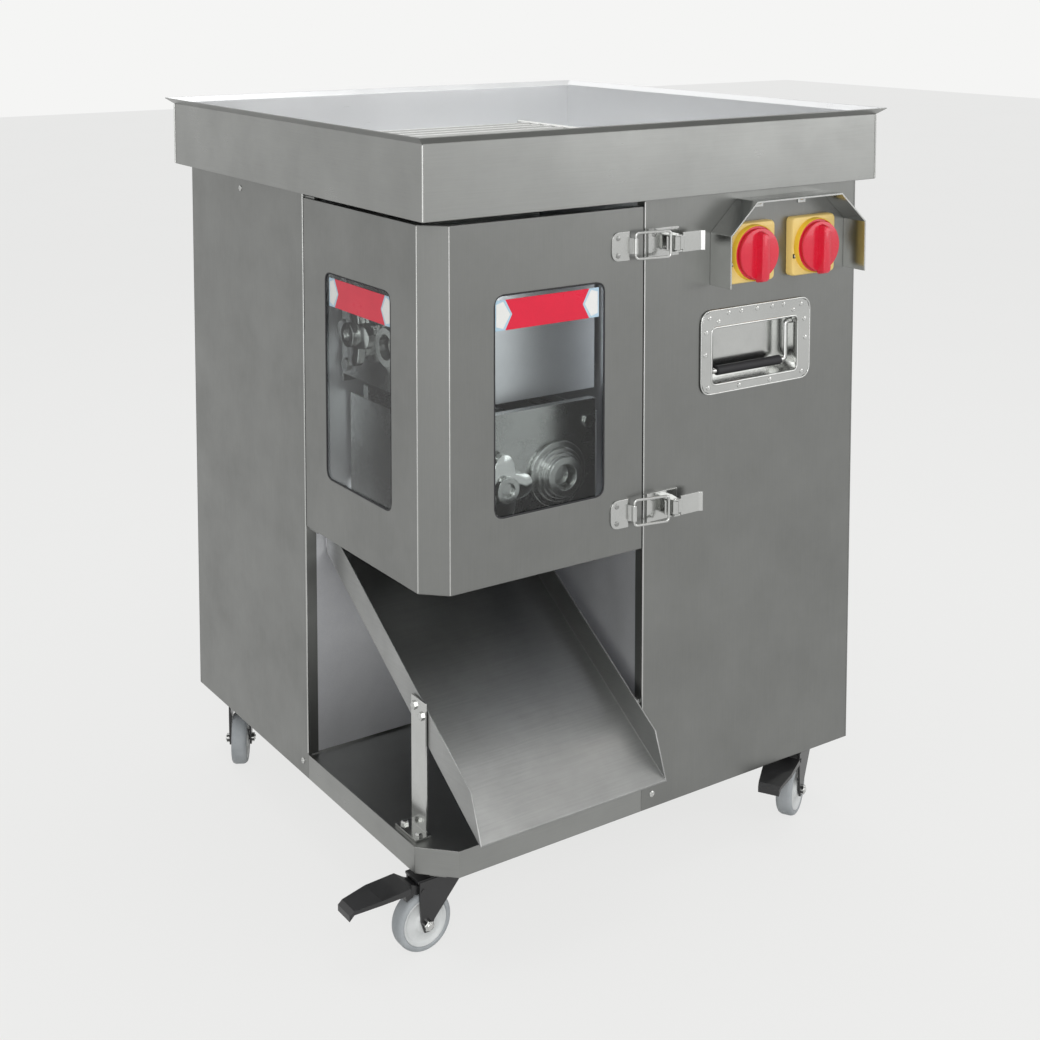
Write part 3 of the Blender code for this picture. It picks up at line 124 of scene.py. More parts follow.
class Brush(Enum):
    """Direction of the grinding lines on a steel sheet."""

    UPRIGHT = (1.0, 1.0, 0.02)
    LEVEL = (0.02, 0.02, 1.0)
    ROUND = (1.0, 1.0, 1.0)


def linear(code: str) -> tuple[float, float, float, float]:
    """Turn an sRGB hex colour into linear values.

    Args:
        code: colour such as "#c0c0c0".

    Returns:
        Linear red, green, blue and an alpha of 1.
    """
    parts = [int(code[i : i + 2], 16) / 255 for i in (1, 3, 5)]
    return (*[p / 12.92 if p <= 0.04045 else ((p + 0.055) / 1.055) ** 2.4 for p in parts], 1.0)


def add_node(tree: Tree, kind: str, inputs: dict[str, object] | None = None) -> bpy.types.Node:
    """Add a node, and set or link its inputs.

    Args:
        tree: node tree that takes the node.
        kind: node type name.
        inputs: a value or a socket for each input's name or number, or each attribute's name.

    Returns:
        The new node.
    """
    node = tree.nodes.new(kind)
    for name, value in (inputs or {}).items():
        key = int(name) if name.isdigit() else name
        if isinstance(value, Socket):
            tree.links.new(value, node.inputs[key])
        elif isinstance(key, int) or key in node.inputs:
            node.inputs[key].default_value = value
        else:
            setattr(node, name, value)
    return node


def maths(tree: Tree, operation: str, *terms: float | Socket) -> Socket:
    """Return the result of a Math node fed by numbers and sockets, in order."""
    inputs = {str(index): term for index, term in enumerate(terms)}
    return add_node(tree, "ShaderNodeMath", {"operation": operation, **inputs}).outputs[0]


def empty_tree(owner: bpy.types.Material | bpy.types.World) -> Tree:
    """Return the emptied node tree of a new material or world."""
    owner.use_nodes = True
    owner.node_tree.nodes.clear()
    return owner.node_tree


def link(name: str, data: bpy.types.ID) -> bpy.types.Object:
    """Return a new object that stands in the scene."""
    made = bpy.data.objects.new(name, data)
    bpy.context.scene.collection.objects.link(made)
    return made


@dataclass(frozen=True)
class Finish:
    """A surface finish with its patterns worked out from real sizes.

    Attributes:
        name: maker's name of the material and its surface.
        colour: main sRGB colour.
        shade: second sRGB colour that stains or wear bring.
        roughness: mean roughness.
        spread: how far the roughness varies.
        metallic: 1 for bare metal.
        grain: size of the fine pattern in metres.
        stain: size of the broad marks in metres.
        relief: height of the fine pattern in metres.
        brush: direction of the fine pattern.
        coat: strength of a clear top layer.
        inward: colour of faces that look to the machine's upright middle line, if another; it paints light
            on those faces.
        edge: radius of softened edges in metres.
        grain_share: how much the fine pattern adds to the broad marks.
        wear: values of the pattern where the second colour starts and is whole.
        bump: strength of the fine pattern's relief.
    """

    name: str
    colour: str
    shade: str
    roughness: float
    spread: float = 0.06
    metallic: float = 0.0
    grain: float = 1.2 * MM
    stain: float = 90 * MM
    relief: float = 0.02 * MM
    brush: Brush = Brush.ROUND
    coat: float = 0.0
    inward: str = ""
    edge: float = 0.6 * MM
    grain_share: float = 0.35
    wear: Span = (0.45, 0.95)
    bump: float = 0.5

    def material(self) -> bpy.types.Material:
        """Return the finish as a material, made once."""
        found = bpy.data.materials.get(self.name)
        return found or self._build()

    def _build(self) -> bpy.types.Material:
        """Build the node tree of the finish."""
        made = bpy.data.materials.new(self.name)
        tree = empty_tree(made)
        place = add_node(tree, "ShaderNodeTexCoord").outputs["Object"]
        stretch = add_node(
            tree,
            "ShaderNodeVectorMath",
            {"operation": "MULTIPLY", "0": place, "1": self.brush.value},
        )
        grain = add_node(
            tree,
            "ShaderNodeTexNoise",
            {"Scale": 1 / self.grain, "Detail": 2.0, "Vector": stretch.outputs[0]},
        ).outputs["Fac"]
        stain = add_node(
            tree,
            "ShaderNodeTexNoise",
            {"Scale": 1 / self.stain, "Detail": 4.0, "Roughness": 0.6, "Vector": place},
        ).outputs["Fac"]
        blend = maths(tree, "MULTIPLY_ADD", grain, self.grain_share, stain)
        low, high = self.wear
        amount = add_node(
            tree,
            "ShaderNodeMapRange",
            {"Value": blend, "From Min": low, "From Max": high},
        ).outputs["Result"]
        tint = add_node(
            tree,
            "ShaderNodeMix",
            {"data_type": "RGBA", "0": amount, "6": linear(self.colour), "7": linear(self.shade)},
        ).outputs[2]
        low, high = self.roughness - self.spread, self.roughness + self.spread
        rough = add_node(tree, "ShaderNodeMapRange", {"Value": amount, "To Min": low, "To Max": high})
        soft = add_node(tree, "ShaderNodeBevel", {"samples": 4, "Radius": self.edge})
        bump = add_node(
            tree,
            "ShaderNodeBump",
            {"Strength": self.bump, "Distance": self.relief, "Height": grain, "Normal": soft.outputs[0]},
        )
        shader = add_node(
            tree,
            "ShaderNodeBsdfPrincipled",
            {
                "Base Color": self._inner_colour(tree, tint) if self.inward else tint,
                "Metallic": self.metallic,
                "Coat Weight": self.coat,
                "Roughness": rough.outputs["Result"],
                "Normal": bump.outputs["Normal"],
            },
        )
        add_node(tree, "ShaderNodeOutputMaterial", {"Surface": shader.outputs[0]})
        return made

    def _inner_colour(self, tree: Tree, outer: Socket) -> Socket:
        """Paint a lighter colour, as painted light, on faces that look inwards.

        Args:
            tree: node tree of the finish.
            outer: colour of the other faces.

        Returns:
            The colour to use.
        """
        here = add_node(tree, "ShaderNodeNewGeometry")
        level = add_node(
            tree,
            "ShaderNodeVectorMath",
            {"operation": "MULTIPLY", "0": here.outputs["Position"], "1": (1.0, 1.0, 0.0)},
        )
        facing = add_node(
            tree,
            "ShaderNodeVectorMath",
            {"operation": "DOT_PRODUCT", "0": level.outputs[0], "1": here.outputs["True Normal"]},
        )
        inner = maths(tree, "LESS_THAN", facing.outputs["Value"], 0.01)
        # Painted light: faces that look inwards take the lighter colour, standing in for the light they
        # catch.
        inputs = {"data_type": "RGBA", "0": inner, "6": outer, "7": linear(self.inward)}
        return add_node(tree, "ShaderNodeMix", inputs).outputs[2]


@dataclass(frozen=True)
class Pane:
    """Clear acrylic sheet: the eye sees through it, under a soft sheen at shallow angles."""

    name: str = "clear_acrylic_sheet"
    tint: str = "#f6f8f8"
    ior: float = 1.49
    roughness: float = 0.03
    scratch: float = 25 * MM

    def material(self) -> bpy.types.Material:
        """Return the pane as a clear sheet with faint scratches."""
        found = bpy.data.materials.get(self.name)
        if found:
            return found
        made = bpy.data.materials.new(self.name)
        tree = empty_tree(made)
        place = add_node(tree, "ShaderNodeTexCoord").outputs["Object"]
        noise = add_node(tree, "ShaderNodeTexNoise", {"Scale": 1 / self.scratch, "Vector": place})
        rough = add_node(
            tree,
            "ShaderNodeMapRange",
            {"Value": noise.outputs["Fac"], "To Min": self.roughness, "To Max": 3 * self.roughness},
        )
        clear = add_node(tree, "ShaderNodeBsdfTransparent", {"Color": linear(self.tint)})
        sheen = add_node(tree, "ShaderNodeBsdfAnisotropic", {"Roughness": rough.outputs["Result"]})
        fresnel = add_node(tree, "ShaderNodeFresnel", {"IOR": self.ior}).outputs[0]
        # The slab's inner side would mirror everything, so only its outer side has the sheen.
        back = add_node(tree, "ShaderNodeNewGeometry").outputs["Backfacing"]
        share = maths(tree, "MULTIPLY", fresnel, maths(tree, "SUBTRACT", 1.0, back))
        inputs = {"0": share, "1": clear.outputs[0], "2": sheen.outputs[0]}
        both = add_node(tree, "ShaderNodeMixShader", inputs)
        add_node(tree, "ShaderNodeOutputMaterial", {"Surface": both.outputs[0]})
        return made


# Ground stainless sheet: long fine lines that stretch every reflection across them.
SHEET_UPRIGHT = Finish(
    "ground_stainless_sheet_upright",
    "#868785",
    "#7d7e7c",
    0.34,
    metallic=1.0,
    grain=1.1 * MM,
    brush=Brush.UPRIGHT,
    edge=1.6 * MM,
)
SHEET_LEVEL = replace(
    SHEET_UPRIGHT,
    name="ground_stainless_sheet_level",
    colour="#979896",
    shade="#8e8f8d",
    roughness=0.33,
    brush=Brush.LEVEL,
)
# Tray sheet: as the cabinet outside, with painted light inside: faces that look inwards are coloured
# lighter for the light they catch.
TRAY_SHEET = replace(
    SHEET_LEVEL,
    name="scrubbed_tray_sheet",
    colour="#9a9b99",
    shade="#919290",
    # Painted light: the lighter colour of the tray's inner faces.
    inward="#cfd0d1",
)
# Chute sheet: ground down the slope that the strips slide on.
CHUTE_SHEET = Finish(
    "ground_chute_sheet",
    "#a6a7a6",
    "#939493",
    0.36,
    metallic=1.0,
    brush=Brush.LEVEL,
    edge=1.4 * MM,
)
# Mill finish: pale, soft and even, inside the cabinet.
MILL = Finish("mill_finish_stainless", "#eaebee", "#dadbdf", 0.46, metallic=1.0, relief=0.01 * MM)
# Polished stainless: brighter and smoother, with faint hand marks.
BRIGHT = Finish("polished_stainless", "#c9cac8", "#b7b8b6", 0.20, metallic=1.0, relief=0.01 * MM)
# Machined stainless: turned faces with a soft grey sheen.
MACHINED = Finish("machined_stainless", "#aaaba9", "#8b8c8a", 0.28, metallic=1.0, grain=0.8 * MM)
# Ground knife steel: thin bright discs.
KNIFE = Finish("ground_knife_steel", "#b5b7b7", "#979999", 0.20, metallic=1.0, grain=0.9 * MM)
# Bead of weld along a seam, lighter and rougher than the sheet.
WELD = Finish("dressed_weld", "#bebfbd", "#acadab", 0.28, metallic=1.0, grain=1.5 * MM, relief=0.08 * MM)
# Cast iron under grey-green paint, inside the cabinet.
CAST = Finish("painted_cast_iron", "#4c5759", "#3b4446", 0.55, grain=1.6 * MM, relief=0.15 * MM)
# Black paint on pressed steel: satin, with a fine orange peel. Nylon and rubber are duller.
BLACK_PAINT = Finish("black_paint_on_pressed_steel", "#1b1b1c", "#2a2a2b", 0.40, grain=0.9 * MM, coat=0.2)
BLACK_PLASTIC = Finish("black_moulded_nylon", "#17171a", "#222225", 0.48, grain=0.7 * MM)
RUBBER = Finish("black_extruded_rubber", "#141416", "#26262a", 0.62, grain=0.7 * MM)
# Moulded switch parts: warm yellow plate, deeper yellow ring and glossy red knob.
YELLOW = Finish("yellow_moulded_plastic", "#f6dc90", "#efd07c", 0.42, grain=0.8 * MM)
RING_YELLOW = Finish("yellow_ring_plastic", "#ffd84a", "#f2c636", 0.35, grain=0.8 * MM)
RED = Finish("red_moulded_plastic", "#e8203c", "#d41836", 0.28, grain=0.8 * MM, coat=0.4)
# Grey moulded tyre and white nylon hub of a caster wheel.
TYRE = Finish("grey_moulded_tyre", "#b4b8ba", "#9ba0a3", 0.58, grain=0.9 * MM, stain=30 * MM)
NYLON = Finish("white_nylon_hub", "#e3e5e4", "#cfd2d1", 0.45, grain=0.8 * MM, stain=30 * MM)
# Plain films on the windows: bright and even.
STICKER_RED = Finish("red_printed_film", "#e8143c", "#d51236", 0.30, grain=1.0 * MM)
STICKER_WHITE = Finish("white_printed_film", "#f1f1ee", "#e2e2de", 0.30, grain=1.0 * MM)
STICKER_BLUE = Finish("pale_blue_printed_film", "#bcd7e6", "#a9c7d8", 0.30, grain=1.0 * MM)
PANE = Pane()


def put(name: str, shape: Mesh, finish: Finish | Pane, body: str, instead: str = "") -> None:
    """Make an object from a bmesh, dress it and let it ride on a body.

    Args:
        name: piece name.
        shape: mesh in world metres, freed here.
        finish: its finish.
        body: body that carries it.
        instead: plain node that it replaces, if any.
    """
    bmesh.ops.recalc_face_normals(shape, faces=shape.faces)
    mesh = bpy.data.meshes.new(name)
    shape.to_mesh(mesh)
    shape.free()
    mesh.shade_smooth()
    mesh.set_sharp_from_angle(angle=math.radians(SHARP_ANGLE))
    mesh.materials.append(finish.material())
    made = link(name, mesh)
    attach(made, body)
    if instead:
        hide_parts(instead)
    LOG.info("piece %s rides on %s", name, body)


def metres(points: Pairs) -> Profile:
    """Return a profile in metres from one in millimetres."""
    return [(along * MM, radius * MM) for along, radius in points]


def rectangle(left: float, right: float, bottom: float, top: float) -> Profile:
    """Return the corners of a rectangle, starting at the lower left."""
    return [(left, bottom), (right, bottom), (right, top), (left, top)]


def skin(rings: list[list[Vector]], closed: bool, into: Mesh | None = None) -> Mesh:
    """Join equal rings of points with faces.

    Args:
        rings: rows of points.
        closed: joins the last ring to the first in place of capping both ends.
        into: mesh to add to.

    Returns:
        The mesh.
    """
    shape = into or bmesh.new()
    rows = [[shape.verts.new(point) for point in ring] for ring in rings]
    pairs = list(zip(rows, rows[1:])) + ([(rows[-1], rows[0])] if closed else [])
    for low, high in pairs:
        for index in range(len(low)):
            after = (index + 1) % len(low)
            shape.faces.new((low[index], low[after], high[after], high[index]))
    if not closed:
        shape.faces.new(rows[0])
        shape.faces.new(rows[-1])
    return shape


def lathe(
    profile: Profile,
    centre: Vector,
    axis: Vector,
    sides: int = 48,
    closed: bool = False,
    into: Mesh | None = None,
) -> Mesh:
    """Turn a profile about an axis.

    Args:
        profile: pairs of distance along the axis and radius.
        centre: point on the axis where the distance is 0.
        axis: direction of the axis.
        sides: number of facets round the axis.
        closed: makes a ring in place of a solid end.
        into: mesh to add to.

    Returns:
        The mesh.
    """
    along = axis.normalized()
    first = along.orthogonal().normalized()
    second = along.cross(first)
    rings = []
    for distance, radius in profile:
        middle = centre + along * distance
        angles = [2 * math.pi * step / sides for step in range(sides)]
        rings.append([middle + (first * math.cos(a) + second * math.sin(a)) * radius for a in angles])
    return skin(rings, closed, into)


def soft_profile(points: Profile, cut: float = 0.6 * MM) -> Profile:
    """Cut every corner of a closed profile, so that its edges catch light.

    Args:
        points: corners in order.
        cut: size of the cut.

    Returns:
        The profile with two points for each corner.
    """
    made: Profile = []
    for index, here in enumerate(points):
        now = Vector(here)
        for other in (points[index - 1], points[(index + 1) % len(points)]):
            way = Vector(other) - now
            step = min(cut, way.length * CUT_SHARE)
            made.append(tuple(now + way.normalized() * step))
    return made


def slab(outline: list[Vector], out: Vector, thick: float, edge: float = 0.0) -> Mesh:
    """Raise a plane outline into a plate with softened front edges.

    Args:
        outline: corners on the face that the plate sits on.
        out: outward direction.
        thick: thickness.
        edge: width of the softened edge.

    Returns:
        The mesh.
    """
    middle = sum(outline, Vector()) / len(outline)
    way = out.normalized()
    rings = [outline, [point + way * (thick - edge) for point in outline]]
    if edge:
        rings.append([point + (middle - point).normalized() * edge + way * thick for point in outline])
    return skin(rings, closed=False)


def tube(path: list[Vector], radius: float, sides: int = 12, closed: bool = False) -> Mesh:
    """Sweep a circle along a path of points.

    Args:
        path: points in order.
        radius: radius of the tube.
        sides: number of facets.
        closed: joins the ends.

    Returns:
        The mesh.
    """
    count = len(path)
    rings = []
    side = None
    for index, point in enumerate(path):
        before = path[index - 1] if index or closed else point
        after = path[(index + 1) % count] if index < count - 1 or closed else point
        way = (after - before).normalized()
        side = way.orthogonal().normalized() if side is None else (side - way * side.dot(way)).normalized()
        other = way.cross(side)
        angles = [2 * math.pi * step / sides for step in range(sides)]
        rings.append([point + (side * math.cos(a) + other * math.sin(a)) * radius for a in angles])
    return skin(rings, closed)


def rounded(corners: list[Vector], radius: float, steps: int = 6, closed: bool = True) -> list[Vector]:
    """Round the corners of a path.

    Args:
        corners: corner points in order.
        radius: distance from each corner at which the curve starts.
        steps: points in each curve.
        closed: rounds the first and last corner too.

    Returns:
        The points of the rounded path.
    """
    made = []
    for index, here in enumerate(corners):
        if not closed and index in (0, len(corners) - 1):
            made.append(here)
            continue
        start = here + (corners[index - 1] - here).normalized() * radius
        end = here + (corners[(index + 1) % len(corners)] - here).normalized() * radius
        for step in range(steps + 1):
            t = step / steps
            made.append(start * (1 - t) ** 2 + here * 2 * t * (1 - t) + end * t**2)
    return made


@dataclass
class Machine:
    """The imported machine: its places and joints."""

    frame: dict
    origin: Vector = field(init=False)

    def __post_init__(self) -> None:
        """Find the machine's own origin at the corner of its cabinet."""
        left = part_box("rear_panel")[0][0]
        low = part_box("front_panel")[0]
        self.origin = Vector((left, low[1], low[2]))

    def at(self, x: float, y: float, z: float) -> Vector:
        """Return a machine place in world metres."""
        return self.origin + Vector((x, y, z))

    def spot(self, x: float, y: float, z: float) -> Vector:
        """Return, in world metres, a machine place given in millimetres."""
        return self.at(x * MM, y * MM, z * MM)

    def joint(self, name: str) -> tuple[Vector, Vector]:
        """Return a joint's point and axis."""
        for joint in self.frame["joints"]:
            if joint["name"] == name:
                return Vector(joint["pos_m"]), Vector(joint["axis"]).normalized()
        raise KeyError(name)


@dataclass
class Skins:
    """Finishes of the CAD nodes, by how their names end; all others are polished."""

    machine: Machine
    looks: tuple[tuple[Finish | Pane, tuple[str, ...]], ...] = (
        (SHEET_UPRIGHT, ("_panel", "guard_door", "frame_posts")),
        (SHEET_LEVEL, ("base_pan",)),
        (TRAY_SHEET, ("hopper_tray",)),
        (CHUTE_SHEET, ("discharge_chute",)),
        (MILL, ("chamber_liner", "_guard_plate")),
        (MACHINED, ("_cutter_frame", "_shaft_a", "_shaft_b")),
        (KNIFE, ("_blades_a", "_blades_b")),
        (CAST, ("_drive",)),
        (PANE, ("_window",)),
        (YELLOW, ("_switch_plate",)),
        (RED, ("_knob",)),
        (BLACK_PLASTIC, ("switch_block", "cable_gland")),
        (BLACK_PAINT, ("_fork", "_pedal", "carry_handle")),
        (TYRE, ("_wheel",)),
    )

    def dress(self) -> None:
        """Give every CAD node its finish."""
        for name, node in self.machine.frame["nodes"].items():
            look = next((look for look, endings in self.looks if name.endswith(endings)), BRIGHT)
            node.data.materials.clear()
            node.data.materials.append(look.material())
            LOG.info("node %s is %s", name, look.name)


@dataclass
class Casters:
    """Wheels with a grey tyre and a white hub, races and axle nuts.

    Attributes:
        tyre_half, hub_half: half sections, in shares of the half width and the radius.
        fork_outer: distance from the wheel's middle to the fork's outer face.
        race_drop: depth of the race's top under the cabinet.
        race_rim: depth and growth of the rim's points, in millimetres.
        nut, bolt_end: half sections in millimetres.
    """

    machine: Machine
    half_width: float = 12 * MM
    bore: float = 4.4 * MM
    tyre_half: Pairs = ((0.96, 0.80), (0.92, 0.93), (0.55, 1.0))
    hub_half: Pairs = ((1.0, 0.30), (0.70, 0.36), (0.55, 0.66), (0.90, 0.74), (0.90, 0.795))
    fork_outer: float = 16.5 * MM
    race_drop: float = 3.2 * MM
    race_radius: float = 24 * MM
    race_rim: Pairs = ((0.0, 1.0), (-2.4, 2.5), (-5.2, -1.0))
    nut: Pairs = ((0.0, 7.0), (3.6, 7.0), (4.4, 6.2))
    bolt_end: Pairs = ((4.2, 3.9), (5.2, 3.9), (5.8, 3.2))

    def build(self) -> None:
        """Build all four wheels."""
        for corner in ("front_left", "front_right", "rear_left", "rear_right"):
            self.wheel(corner)
            self.race(corner)
            self.nuts(corner)

    def wheel(self, corner: str) -> None:
        """Turn one wheel in two materials, in place of its plain node."""
        centre, axis = self.machine.joint(f"{corner}_wheel_roll")
        low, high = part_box(f"{corner}_wheel")
        half, radius = self.half_width, (high[2] - low[2]) / 2
        for part, inner, shares, cut, look in (
            ("tyre", [], self.tyre_half, 1.2 * MM, TYRE),
            ("hub", [(half, self.bore)], self.hub_half, 0.8 * MM, NYLON),
        ):
            right = inner + [(half * across, radius * up) for across, up in shares]
            profile = soft_profile([(-across, up) for across, up in right] + right[::-1], cut)
            shape = lathe(profile, centre, axis, 64, closed=True)
            put(f"{corner}_{part}", shape, look, f"{corner}_roller", f"{corner}_wheel")

    def race(self, corner: str) -> None:
        """Turn the pressed race ring under the top plate."""
        centre, _ = self.machine.joint(f"{corner}_swivel_turn")
        top = Vector((centre.x, centre.y, self.machine.origin.z - self.race_drop))
        inner, outer = self.race_radius * 0.6, self.race_radius
        rim = [(deep * MM, outer + grow * MM) for deep, grow in self.race_rim]
        ring = soft_profile([(rim[0][0], inner), *rim, (rim[-1][0], inner)])
        shape = lathe(ring, top, UP, 48, closed=True)
        put(f"{corner}_race", shape, BRIGHT, "frame")

    def nuts(self, corner: str) -> None:
        """Set a bright hexagon nut and its bolt end on each side of the fork."""
        centre, axis = self.machine.joint(f"{corner}_wheel_roll")
        for side in (-1, 1):
            way = axis * side
            seat = centre + way * self.fork_outer
            nut = lathe(metres(self.nut), seat, way, 6)
            lathe(metres(self.bolt_end), seat, way, 24, into=nut)
            put(f"{corner}_axle_nut_{side + 1}", nut, BRIGHT, f"{corner}_swivel")


@dataclass
class Cutters:
    """One cutter group's fine blades, stepped hub and star nut.

    Attributes:
        name: upper or lower.
        blade, bevel: thickness of a blade and height of its ground bevel.
        gap: space between the blades of both shafts.
        plate: distance from the cabinet's side to the outer end plate.
        hub_steps: depth and radius of the hub's steps, in millimetres.
        over: how far the fine hub stands over its plain form.
        root, rise: least radius of the star nut and height of its lobes, in millimetres.
        star_rings: depth and growth of the star nut's outlines, in millimetres.
        boss: section of the star nut's collar, in millimetres.
    """

    machine: Machine
    name: str
    blade_radius: float = 50 * MM
    spacer_radius: float = 22 * MM
    shaft_radius: float = 12.3 * MM
    blade: float = 2 * MM
    bevel: float = 2.2 * MM
    pitch: float = 18 * MM
    gap: float = 0.4 * MM
    count: int = 9
    plate: float = 55 * MM
    hub_steps: Pairs = ((6, 42), (5, 34), (4, 29), (6, 25))
    hub_bore: float = 16.4 * MM
    over: float = 0.3 * MM
    lobes: int = 4
    root: float = 23.0
    rise: float = 19.0
    star_rings: Pairs = ((-8.3, -1.0), (-8.9, 0.4), (-18.2, 0.4), (-18.9, -1.0))
    boss: Pairs = ((-26.8, 9.0), (-26.8, 16.3), (-18.0, 16.3), (-18.0, 9.0))

    @property
    def lane(self) -> int:
        """Return the number of the axis that the shafts run along."""
        return 0 if self.name == "upper" else 1

    def frame_of(self, letter: str) -> tuple[Vector, Vector]:
        """Return the point on the outer plate's face and the inward axis of a shaft."""
        point, axis = self.machine.joint(f"{self.name}_cutter_{letter}_turn")
        point[self.lane] = self.machine.origin[self.lane] + self.plate
        return point, axis

    def build(self) -> None:
        """Build both blade stacks, the hub and the star nut."""
        for letter in "ab":
            self.blades(letter)
        self.hub()
        self.star()

    def blades(self, letter: str) -> None:
        """Turn the round knives and spacers of one shaft, in place of its plain node."""
        node = f"{self.name}_blades_{letter}"
        low, high = (Vector(corner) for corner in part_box(node))
        point, axis = self.frame_of(letter)
        start, end = (corner[self.lane] - point[self.lane] for corner in (low, high))
        middle = (start + end) / 2
        first = middle - (self.count - 1) * self.pitch / 2 - self.blade
        if letter == "b":
            first += self.blade + self.gap
        spacer, bore, shoulder = self.spacer_radius, self.shaft_radius, self.blade_radius - self.bevel
        profile: Profile = [(start, bore), (start, spacer - MM), (start + MM, spacer)]
        for index in range(self.count):
            at = first + index * self.pitch
            profile += [
                (at, spacer),
                (at, shoulder),
                (at + self.blade * 0.45, self.blade_radius),
                (at + self.blade * 0.55, self.blade_radius),
                (at + self.blade, shoulder),
                (at + self.blade, spacer),
            ]
        profile += [(end - MM, spacer), (end, spacer - MM), (end, bore)]
        shape = lathe(profile, point, axis, 64, closed=True)
        body = f"{self.name}_cutter_{letter}"
        put(f"{self.name}_knives_{letter}", shape, KNIFE, body, node)

    def hub(self) -> None:
        """Turn the stepped bearing hub over its plain form."""
        point, axis = self.frame_of("a")
        profile: Profile = [(-0.1 * MM, self.hub_bore)]
        level = 0.0
        for deep, radius in self.hub_steps:
            profile.append((level * MM, radius * MM + self.over))
            level -= deep
            profile.append((level * MM + 0.2 * MM, radius * MM + self.over))
        profile.append((level * MM - self.over, self.hub_bore))
        shape = lathe(soft_profile(profile, 0.7 * MM), point, axis, 64, closed=True)
        put(f"{self.name}_stepped_hub", shape, MACHINED, "frame")

    def star(self) -> None:
        """Shape the lobed nut on the second shaft's end."""
        point, axis = self.frame_of("b")
        body = f"{self.name}_cutter_b"
        across = UP.cross(axis)
        rings = []
        sides = self.lobes * 16
        for depth, grow in self.star_rings:
            ring = []
            for index in range(sides):
                angle = 2 * math.pi * index / sides
                swell = (1 + math.cos(self.lobes * angle)) / 2
                radius = (self.root + self.rise * swell**0.7 + grow) * MM
                spot = across * math.cos(angle) + UP * math.sin(angle)
                ring.append(point + axis * depth * MM + spot * radius)
            rings.append(ring)
        put(f"{self.name}_star_nut", skin(rings, False), BRIGHT, body)
        shape = lathe(soft_profile(metres(self.boss)), point, axis, 48, closed=True)
        put(f"{self.name}_star_boss", shape, MACHINED, body)


@dataclass
class Switches:
    """Rotary isolators: bevelled plates, yellow rings and red knobs, in millimetres.

    Attributes:
        places, height: x of each switch and z of both.
        plate_levels: growth and depth of the plate's outlines.
        ring: section of the yellow ring.
        ring_base, disc: half sections of the red disc inside the ring and of the knob's disc.
        grip, grip_levels: corners of the knob's grip, and depth and share of its outlines.
    """

    machine: Machine
    places: Span = (489.5, 600.5)
    height: float = 718.5
    half_plate: float = 40.0
    plate_levels: Pairs = ((0.0, -0.3), (0.0, -9.0), (-1.2, -11.4), (-3.0, -12.3))
    ring: Pairs = ((12.0, 35.6), (12.0, 37.5), (20.2, 37.0), (20.2, 35.6))
    ring_base: Pairs = ((11.9, 35.4), (19.6, 35.4), (20.2, 34.0))
    disc: Pairs = ((20.8, 33.6), (25.0, 34.0), (26.4, 33.2), (26.8, 31.6))
    grip: Pairs = ((-7.5, -38.0), (7.5, -38.0), (6.3, 30.0), (-6.3, 30.0))
    grip_levels: Pairs = ((26.0, 1.0), (36.2, 0.93), (37.8, 0.88), (38.6, 0.78))

    def build(self) -> None:
        """Build both isolators."""
        for name, x in zip(("left", "right"), self.places):
            self.housing(name, x)
            self.knob(name)
            self.indicator(name, x)

    def square(self, x: float, half: float, y: float) -> list[Vector]:
        """Return a rounded square round a switch at one depth."""
        corners = rectangle(-half, half, -half, half)
        spots = [self.machine.spot(x + dx, y, self.height + dz) for dx, dz in corners]
        return rounded(spots, 7 * MM)

    def housing(self, name: str, x: float) -> None:
        """Build the plate and its ring, in place of the plain plate node."""
        node = f"{name}_switch_plate"
        plate = skin([self.square(x, self.half_plate + grow, y) for grow, y in self.plate_levels], False)
        put(f"{name}_isolator_plate", plate, YELLOW, "frame", node)
        centre = self.machine.spot(x, 0, self.height)
        ring = lathe(soft_profile(metres(self.ring)), centre, Side.FRONT.out, 64, closed=True)
        put(f"{name}_ring", ring, RING_YELLOW, "frame", node)
        base = lathe(metres(self.ring_base), centre, Side.FRONT.out, 64)
        put(f"{name}_ring_base", base, RED, "frame", node)

    def knob(self, name: str) -> None:
        """Build the red disc and its grip, in place of the knob node."""
        centre, _ = self.machine.joint(f"{name}_knob_turn")
        face = Vector((centre.x, self.machine.origin.y, centre.z))
        out = Side.FRONT.out
        outline = rounded([face + Vector((dx * MM, 0, dz * MM)) for dx, dz in self.grip], 5.5 * MM)
        middle = sum(outline, Vector()) / len(outline)
        rings = [
            [middle + (point - middle) * size + out * depth * MM for point in outline]
            for depth, size in self.grip_levels
        ]
        disc = lathe(metres(self.disc), face, out, 64)
        for part, shape in (("disc", disc), ("grip", skin(rings, False))):
            put(f"{name}_knob_{part}", shape, RED, f"{name}_knob_body", f"{name}_knob")

    def indicator(self, name: str, x: float) -> None:
        """Set the small plain position tab at the plate's lower left."""
        face = self.machine.spot(x, self.plate_levels[-1][1], self.height)
        for part, look, corners, rise in (
            ("tab", BLACK_PLASTIC, rectangle(-38.5, -29.0, -15.5, -9.5), 0.8),
            ("mark", STICKER_WHITE, rectangle(-36.5, -33.5, -14.0, -11.0), 1.1),
        ):
            spots = [face + Vector((dx * MM, 0.5 * MM, dz * MM)) for dx, dz in corners]
            shape = slab(spots, Side.FRONT.out, rise * MM, 0.3 * MM)
            put(f"{name}_position_{part}", shape, look, "frame", f"{name}_switch_plate")


